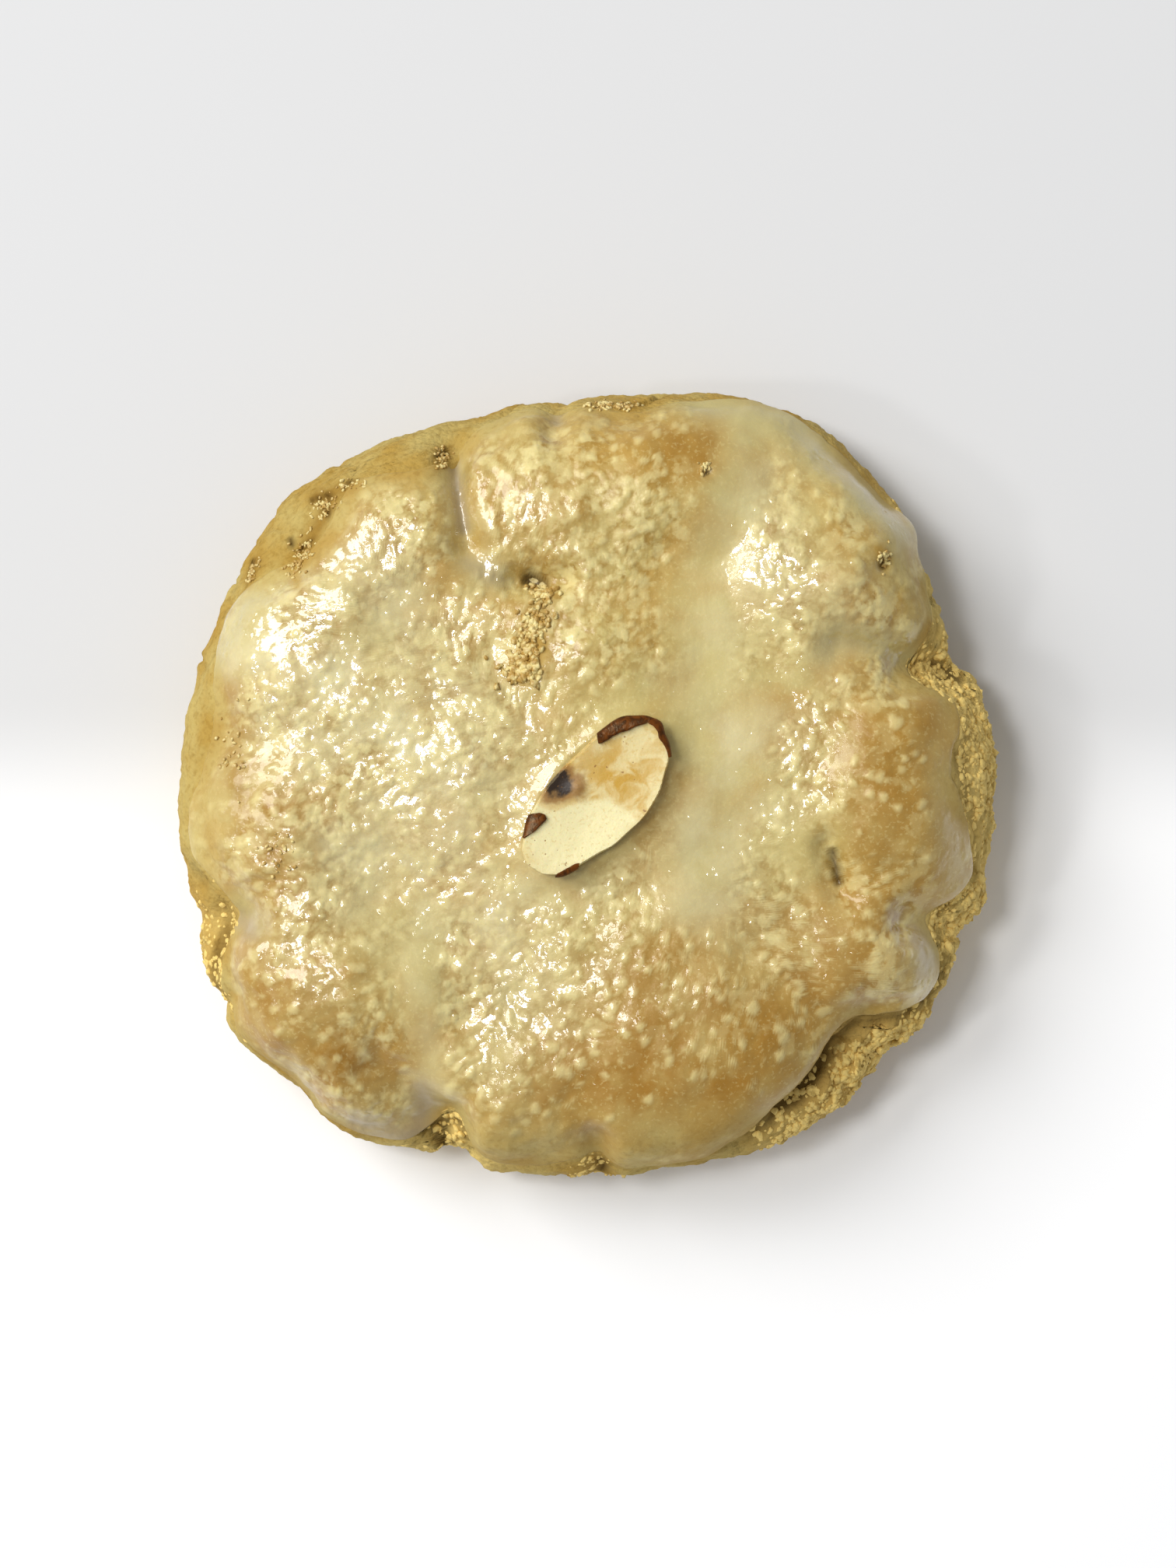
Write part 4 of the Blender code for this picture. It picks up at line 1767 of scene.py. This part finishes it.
@dataclass
class AlmondFlake:
    """The flaked almond: an oval slice with brown skin left along parts of its rim."""

    flesh: AlmondFinish
    skin: SkinFinish
    length: float = 21.7
    width: float = 10.5
    thickness: float = 1.35
    tilt: float = 3.0
    sunk: float = 0.05
    bulges: tuple[Swell, ...] = (
        Swell(44, 16, 0.05),
        Swell(82, 20, -0.05),
        Swell(156, 12, 0.03),
        Swell(238, 14, -0.06),
        Swell(285, 18, 0.06),
        Swell(344, 16, -0.05),
    )
    rinds: tuple[Rind, ...] = (
        Rind(16, 62, 0.9, 1.6, 1.3),
        Rind(-36, 17, 0.15, 0.7, 1.2),
        Rind(126, 144, 1.5, 2, 1.1),
        Rind(-153, -134, 0.4, 0.7, 1.2),
    )
    dish: float = 0.6
    nibble: float = 0.005
    unevenness: float = 0.18
    rings: int = 44
    rim_bevel: float = 0.42
    rim_angle: float = 50.0
    spot_x: float = -1.9
    spot_y: float = 4.4
    spot_squeeze: float = 0.85
    spot_depth: float = 0.2
    blister_x: float = -0.8
    blister_y: float = 2.3
    blister_height: float = 0.4
    rind_columns: int = 48
    rind_rows: int = 10
    rind_thickness: float = 0.2
    rind_stand_off: float = 0.16
    rind_tuck: float = 0.25
    rind_rise: float = 0.12
    rind_curl: float = 0.3

    def level(self) -> float:
        """Gives the height of the slice's underside at its middle, from the frame's own slice."""
        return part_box("almond_slice")[0].z / MM - self.sunk

    def outline(self, angle: Array) -> tuple[Array, Array]:
        """Gives the slice's long rim, a little uneven and chipped.

        Args:
            angle: Angles round the slice, in degrees.

        Returns:
            The rim's two coordinates at each angle.
        """
        around = np.radians(angle)
        chip = 1.0 + swell_sum(angle % 360.0, self.bulges)
        chip += self.nibble * np.sin(around * 9.0) + self.nibble * np.sin(around * 17.0 + 1.0)
        u = self.length / 2 * np.cos(around) * chip
        v = self.width / 2 * np.sin(around) * chip
        return u, v

    def settle(self, local: Array) -> Array:
        """Turns, tilts and lays points of the slice into its place on the glaze.

        Args:
            local: Points of the slice before it is laid down.

        Returns:
            The same points in the cake's own coordinates.
        """
        tilt, turn = math.radians(self.tilt), math.radians(ALMOND_TURN)
        u = local[:, 0]
        v = local[:, 1] * math.cos(tilt) - local[:, 2] * math.sin(tilt)
        w = local[:, 1] * math.sin(tilt) + local[:, 2] * math.cos(tilt)
        x = u * math.cos(turn) - v * math.sin(turn) + ALMOND_CENTRE[0]
        y = u * math.sin(turn) + v * math.cos(turn) + ALMOND_CENTRE[1]
        return np.column_stack((x, y, w + self.level()))

    def face(self, angle: Array, ring: Array) -> Array:
        """Finds points of the slice's lower face before it is laid down.

        Args:
            angle: Angles round the slice, in degrees.
            ring: Shares of the way from its middle to its rim.

        Returns:
            One row of three coordinates for each point.
        """
        u, v = self.outline(angle)
        lift = self.dish * ring**2 * (0.6 + 0.4 * np.abs(np.cos(np.radians(angle))))
        flat = rows_at(u * ring, v * ring, 0.0)
        flat[:, 2] = lift + self.unevenness * noise_at(flat, 5.0)
        return flat

    def build(self) -> list[Piece]:
        """Models the flesh and the pieces of skin.

        Returns:
            The finished pieces, the flesh first.
        """
        piece = Bench.sheet("almond_flesh", self.rings)
        angle, ring = CakeForm.polar(Bench.points(piece))
        rounded = np.sin(ring * math.pi / 2) ** 0.9
        local = self.face(angle, rounded)
        Bench.place(piece, local * MM)
        Bench.pick(piece)
        slab = piece.modifiers.new("slab", "SOLIDIFY")
        slab.thickness = self.thickness * MM
        slab.offset = 1.0
        rim = piece.modifiers.new("rim", "BEVEL")
        rim.width = self.rim_bevel * MM
        rim.segments = 3
        rim.limit_method = "ANGLE"
        rim.angle_limit = math.radians(self.rim_angle)
        bpy.ops.object.modifier_apply(modifier=slab.name)
        bpy.ops.object.modifier_apply(modifier=rim.name)
        local = Bench.points(piece) / MM
        spot = np.hypot((local[:, 0] - self.spot_x) * self.spot_squeeze, local[:, 1] - self.spot_y)
        blister = np.hypot(local[:, 0] - self.blister_x, local[:, 1] - self.blister_y)
        top = smooth_step(local[:, 2], 0.5, 1.2)
        local[:, 2] -= self.spot_depth * hump(spot, 1.1) * top
        local[:, 2] += self.blister_height * hump(blister, 0.9) * top
        Bench.place(piece, self.settle(local) * MM)
        self.paint(piece, local, spot, blister)
        Bench.dress(piece, self.flesh.material())
        skins = [self.strip(f"almond_skin_{index}", rind) for index, rind in enumerate(self.rinds, 1)]
        return [piece, *skins]

    def paint(self, piece: Piece, local: Array, spot: Array, blister: Array) -> None:
        """Paints the toasted half and the burnt spot.

        Args:
            piece: The flesh.
            local: Its vertices before they were laid down.
            spot: Their distance from the burnt spot.
            blister: Their distance from the small blister beside it.
        """
        border = 1.2 - 6.1 * smooth_step(local[:, 1], -2.0, 4.0) + 0.5 * noise_at(local, 2.2)
        near = hump(np.hypot(local[:, 0] - 2.9, local[:, 1] + 0.6), 5.5)
        toasted = smooth_step(local[:, 0] - border, -0.4, 0.4) * (0.4 + 0.6 * near)
        u, v = self.outline(np.degrees(np.arctan2(local[:, 1], local[:, 0])))
        rim = smooth_step(np.hypot(local[:, 0], local[:, 1]) / np.hypot(u, v), 0.8, 1.0)
        Bench.paint(piece, Mark.TOAST, 0.02 + 0.95 * toasted + 0.3 * rim)
        uneven = 1.0 + 0.25 * noise_at(local, 1.2)
        Bench.paint(piece, Mark.CHAR, (hump(spot, 1.8) + 0.35 * hump(blister, 1.6)) * uneven)

    def strip(self, name: str, rind: Rind) -> Piece:
        """Models one thin strip of skin that wraps the rim.

        Args:
            name: The piece's name.
            rind: Where it lies and how far it reaches.

        Returns:
            The finished piece.
        """
        piece = Bench.grid(name, self.rind_columns, self.rind_rows)
        sheet = Bench.points(piece)
        share = (sheet[:, 0] + 1.0) / 2.0
        angle = rind.start + (rind.end - rind.start) * share
        across = (sheet[:, 1] + 1.0) / 2.0
        ragged = np.sin(share * math.pi) ** 0.15 * (0.8 + 0.5 * np.sin(share * math.pi))
        ragged *= 1.0 + 0.12 * noise_at(np.column_stack((angle, angle * 0, angle * 0)), 6.0)
        u, v = self.outline(angle)
        length = np.hypot(u, v)
        out = np.column_stack((u / length, v / length))
        top = self.face(angle, np.ones_like(angle))[:, 2] + self.thickness
        in_share = np.clip(across * 2.0 - 1.0, 0.0, 1.0)
        down_share = np.clip(1.0 - across * 2.0, 0.0, 1.0)
        inwards = in_share * (rind.start_width + (rind.end_width - rind.start_width) * share) * ragged
        offset = self.rind_stand_off - inwards - self.rind_tuck * in_share
        curl = self.rind_curl * (1.0 - in_share) ** 4
        height = top + self.rind_rise - curl - down_share * rind.droop * ragged
        local = np.column_stack((u + out[:, 0] * offset, v + out[:, 1] * offset, height))
        Bench.place(piece, self.settle(local) * MM)
        Bench.pick(piece)
        skin = piece.modifiers.new("skin", "SOLIDIFY")
        skin.thickness = self.rind_thickness * MM
        skin.offset = 0.0
        bpy.ops.object.modifier_apply(modifier=skin.name)
        with Bench.editing(piece, "SELECT"):
            bpy.ops.mesh.normals_make_consistent(inside=False)
        Bench.dress(piece, self.skin.material())
        return piece


class Ledge(NamedTuple):
    """A stretch of rim or side that carries loose crumbs."""

    angle: float
    spread: float
    low: float
    high: float
    count: int
    largest: float


class Nest(NamedTuple):
    """A bare patch of the crown that carries loose grains."""

    x: float
    y: float
    reach_x: float
    reach_y: float
    turn: float
    count: int
    largest: float


class Spot(NamedTuple):
    """The place of one crumb, the surface's normal there and the crumb's radius."""

    place: Vector
    normal: Vector
    radius: float


@dataclass
class CrumbScatter:
    """Loose dough grains: on the torn rim, in the cracks and on the glaze's bare patches."""

    finish: DoughFinish
    grain_finish: GrainFinish
    seed: int = 5
    shape_count: int = 5
    shape_segments: int = 7
    shape_rings: int = 5
    lumpiness: float = 0.85
    smallest: float = 0.2
    rim_rise: float = -0.35
    # How pale the rim crumbs are painted: paler crumb, and painted light on ledges turned from the lamps.
    rim_paleness_and_light: float = 0.9
    crown_rise: float = 0.35
    aim_from: float = 60.0
    aim_above: float = 6.0
    aim_fall: float = 0.45
    drop_from: float = 40.0
    ledges: tuple[Ledge, ...] = (
        Ledge(6, 15, 8, 19.4, 760, 0.62),
        Ledge(18, 4, 9, 17.5, 130, 0.75),
        Ledge(340, 7, 8, 17, 260, 0.66),
        Ledge(315, 13, 7, 15.4, 620, 0.64),
        Ledge(338, 5, 6, 12, 80, 0.75),
        Ledge(37, 5, 6, 12, 80, 0.7),
        Ledge(249, 4, 7, 16, 90, 0.6),
        Ledge(205, 9, 7, 17, 150, 0.5),
        Ledge(302, 7, 7, 15, 200, 0.6),
        Ledge(271, 3, 8, 16, 40, 0.5),
    )
    nests: tuple[Nest, ...] = (
        Nest(-5, 21.6, 1.8, 0.9, 0, 50, 0.4),
        Nest(-6.2, 17.5, 1.5, 3.8, -10, 130, 0.36),
        Nest(-7.4, 13, 2.2, 2.2, 0, 90, 0.52),
        Nest(-30.2, 31.6, 1.8, 1.2, 35, 60, 0.22),
        Nest(-32.6, 26.2, 1.1, 2.8, -20, 80, 0.22),
        Nest(-27.2, 34, 2, 0.7, 10, 30, 0.22),
        Nest(-16.8, 37, 0.9, 1.3, 0, 40, 0.28),
        Nest(-38.4, 24.4, 0.6, 1.5, -25, 30, 0.24),
        Nest(2.6, 43.4, 3, 0.7, 0, 70, 0.26),
        Nest(33.4, 25.4, 0.9, 1.3, -20, 36, 0.28),
        Nest(13.2, 35.6, 0.8, 0.9, 0, 18, 0.24),
        Nest(-40.4, 4, 1.8, 4.5, 0, 24, 0.26),
        Nest(-34.8, -8, 2.4, 3.2, 0, 20, 0.26),
    )

    def shapes(self) -> list[tuple[Array, Array]]:
        """Models a few crumb shapes.

        Returns:
            The points and the faces of each shape, the faces always in the same order.
        """
        made = []
        for index in range(self.shape_count):
            bpy.ops.object.select_all(action="DESELECT")
            bpy.ops.mesh.primitive_uv_sphere_add(
                segments=self.shape_segments, ring_count=self.shape_rings, radius=1.0
            )
            crumb = bpy.context.active_object
            with Bench.editing(crumb, "SELECT"):
                bpy.ops.mesh.quads_convert_to_tris()
            points = Bench.points(crumb)
            lumps = noise_at(points + 7.0 * index, 1.0) * self.lumpiness
            stretch = np.array((1.0 + 0.15 * index, 0.9, 0.8))
            points = points * (1.0 + lumps)[:, None] * stretch
            sides = [tuple(face.vertices) for face in crumb.data.polygons]
            turned = sorted(side[side.index(min(side)) :] + side[: side.index(min(side))] for side in sides)
            made.append((points, np.array(turned)))
            bpy.data.objects.remove(crumb)
        return made

    def rim_spots(self, body: Piece) -> list[Spot]:
        """Finds the places of the crumbs that cling to the torn rim.

        Args:
            body: The dough that carries them.

        Returns:
            One spot for each crumb.
        """
        tree = BVHTree.FromObject(body, bpy.context.evaluated_depsgraph_get())
        draw = random.Random(self.seed)
        spots = []
        for ledge in self.ledges:
            for _ in range(ledge.count):
                around = math.radians(draw.gauss(ledge.angle, ledge.spread / 2.0))
                level = draw.uniform(ledge.low, ledge.high)
                x, y = math.cos(around), math.sin(around)
                start = Vector((x * self.aim_from, y * self.aim_from, level + self.aim_above))
                aim = Vector((-x, -y, -self.aim_fall)).normalized()
                place, normal, _, _ = tree.ray_cast(start * MM, aim)
                if place is not None:
                    radius = self.smallest + (ledge.largest - self.smallest) * draw.random() ** 2
                    spots.append(Spot(place / MM, normal, radius))
        return spots

    def nest_spots(self, carriers: Sequence[Piece]) -> list[Spot]:
        """Finds the places of the grains that lie on the crown's bare patches.

        Args:
            carriers: The pieces that carry them; the topmost surface counts.

        Returns:
            One spot for each grain.
        """
        trees = [BVHTree.FromObject(carrier, bpy.context.evaluated_depsgraph_get()) for carrier in carriers]
        draw = random.Random(self.seed + 1)
        down = Vector((0.0, 0.0, -1.0))
        spots = []
        for nest in self.nests:
            turn = math.radians(nest.turn)
            for _ in range(nest.count):
                u = draw.gauss(0.0, 0.5) * nest.reach_x
                v = draw.gauss(0.0, 0.5) * nest.reach_y
                x = nest.x + u * math.cos(turn) - v * math.sin(turn)
                y = nest.y + u * math.sin(turn) + v * math.cos(turn)
                start = Vector((x, y, self.drop_from)) * MM
                hits = [tree.ray_cast(start, down) for tree in trees]
                place, normal, _, _ = max(hits, key=lambda hit: hit[0].z if hit[0] else -1.0)
                if place is not None:
                    spots.append(Spot(place / MM, normal, draw.uniform(0.5, 1.0) * nest.largest))
        return spots

    def scatter(
        self,
        name: str,
        spots: Sequence[Spot],
        rise: float,
        finish: bpy.types.Material,
    ) -> Piece:
        """Joins one crumb for each spot into a single piece.

        Args:
            name: The piece's name.
            spots: One spot for each crumb.
            rise: How far a crumb's middle stands over the surface, as a share of its radius.
            finish: The piece's material.

        Returns:
            The finished piece.
        """
        draw = random.Random(self.seed + 2)
        shapes = self.shapes()
        points, faces, count = [], [], 0
        for place, normal, radius in spots:
            shape, sides = draw.choice(shapes)
            upright = np.array(normal.to_track_quat("Z", "Y").to_matrix())
            spin = np.array(Matrix.Rotation(draw.uniform(0.0, math.tau), 3, "Z"))
            laid = shape @ spin.T @ upright.T
            points.append(laid * radius + np.array(place + normal * radius * rise))
            faces.append(sides + count)
            count += len(shape)
        mesh = bpy.data.meshes.new(name)
        mesh.from_pydata((np.concatenate(points) * MM).tolist(), [], np.concatenate(faces).tolist())
        piece = bpy.data.objects.new(name, mesh)
        bpy.context.scene.collection.objects.link(piece)
        Bench.dress(piece, finish)
        return piece

    def build(self, body: Piece, skin: Piece) -> list[Piece]:
        """Scatters the crumbs of the rim and the grains of the crown.

        Args:
            body: The dough.
            skin: The glaze.

        Returns:
            The two finished pieces.
        """
        rim = self.scatter("rim_crumbs", self.rim_spots(body), self.rim_rise, self.finish.material())
        # The rim crumbs are painted pale, partly as painted light.
        Bench.paint(rim, Mark.CRUMB, np.full(len(rim.data.vertices), self.rim_paleness_and_light))
        spots = self.nest_spots((skin, body))
        crown = self.scatter("crown_grains", spots, self.crown_rise, self.grain_finish.material())
        return [rim, crown]


class Softbox(NamedTuple):
    """A square soft light: its direction in plan and from straight above, its side and its radiance.

    The side is in metres, and a radiance of 1 is the lit table's.
    """

    name: str
    azimuth: float
    polar: float
    side: float
    radiance: float


@dataclass
class Studio:
    """The pale table, the soft lights from the upper left and the camera straight above."""

    table: TableFinish
    frame_width: float = 136.1
    subject_level: float = 8.0
    camera_height: float = 560.0
    sensor: float = 36.0
    nearest: float = 0.01
    table_size: float = 6.0
    table_gap: float = 0.02
    softboxes: tuple[Softbox, ...] = (
        Softbox("window", 147.0, 48.0, 1.0, 8.2),
        Softbox("lamp", 160.0, 22.0, 0.42, 22.0),
        Softbox("strip", 195.0, 42.0, 0.20, 30.0),
    )
    light_distance: float = 2.0
    wall_glow: float = 0.42
    ceiling_glow: float = 0.33

    def build(self) -> None:
        """Sets up the table, the lights, the world and the camera."""
        bpy.ops.object.select_all(action="DESELECT")
        bpy.ops.mesh.primitive_plane_add(size=self.table_size, location=(0.0, 0.0, -self.table_gap * MM))
        table = bpy.context.active_object
        table.name = "table"
        table.data.materials.append(self.table.material())
        for softbox in self.softboxes:
            self.hang(softbox)
        self.sky()
        self.camera()
        bpy.context.scene.view_settings.view_transform = "Standard"

    def hang(self, softbox: Softbox) -> None:
        """Hangs one soft light that looks at the cake.

        Args:
            softbox: The light to hang.
        """
        light = bpy.data.lights.new(softbox.name, "AREA")
        light.shape = "SQUARE"
        light.size = softbox.side
        light.energy = softbox.radiance * math.pi * softbox.side**2
        lamp = bpy.data.objects.new(softbox.name, light)
        around, down = math.radians(softbox.azimuth), math.radians(softbox.polar)
        flat = math.sin(down)
        aim = Vector((flat * math.cos(around), flat * math.sin(around), math.cos(down)))
        lamp.location = aim * self.light_distance
        lamp.rotation_euler = aim.to_track_quat("Z", "Y").to_euler()
        lamp.visible_camera = False
        bpy.context.scene.collection.objects.link(lamp)

    def sky(self) -> None:
        """Makes the surroundings: bright walls low down and a dimmer ceiling."""
        world = bpy.data.worlds.new("room")
        world.use_nodes = True
        tree = world.node_tree
        coords = tree.nodes.new("ShaderNodeTexCoord")
        split = tree.nodes.new("ShaderNodeSeparateXYZ")
        ramp = tree.nodes.new("ShaderNodeMapRange")
        ramp.interpolation_type = "SMOOTHSTEP"
        tree.links.new(coords.outputs["Generated"], split.inputs[0])
        tree.links.new(split.outputs["Z"], ramp.inputs["Value"])
        ranges = {"From Min": 0.0, "From Max": 0.5, "To Min": self.wall_glow, "To Max": self.ceiling_glow}
        for name, value in ranges.items():
            ramp.inputs[name].default_value = value
        background = tree.nodes["Background"]
        background.inputs["Color"].default_value = paint_colour(252, 253, 255)
        tree.links.new(ramp.outputs["Result"], background.inputs["Strength"])
        bpy.context.scene.world = world

    def camera(self) -> None:
        """Hangs the camera straight above the cake, with the photo's frame."""
        lens = bpy.data.cameras.new("overhead")
        lens.sensor_fit = "HORIZONTAL"
        lens.sensor_width = self.sensor
        lens.lens = self.sensor * (self.camera_height - self.subject_level) / self.frame_width
        lens.clip_start = self.nearest
        camera = bpy.data.objects.new("overhead", lens)
        camera.location = (0.0, 0.0, self.camera_height * MM)
        bpy.context.scene.collection.objects.link(camera)
        bpy.context.scene.camera = camera


def report(piece: Piece) -> None:
    """Logs a piece's size and weight in triangles."""
    piece.data.calc_loop_triangles()
    LOG.info("%s: %d triangles", piece.name, len(piece.data.loop_triangles))


def main() -> None:
    """Builds the pieces in order and ties each to the frame."""
    form = CakeForm()
    dough = DoughBody(form, DoughFinish()).build()
    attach(dough, BODY)
    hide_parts("cake")
    report(dough)

    glaze = GlazeCoat(form, GlazeFinish(DoughFinish())).build()
    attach(glaze, BODY)
    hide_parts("glaze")
    report(glaze)

    for piece in CrumbScatter(DoughFinish(), GrainFinish()).build(dough, glaze):
        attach(piece, BODY)
        report(piece)

    flesh, *skins = AlmondFlake(AlmondFinish(), SkinFinish()).build()
    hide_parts("almond_slice")
    for piece in (flesh, *skins):
        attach(piece, BODY)
        report(piece)

    Studio(TableFinish()).build()


if __name__ == "__main__":
    logging.basicConfig(level=logging.INFO, format="%(name)s: %(message)s")
    main()
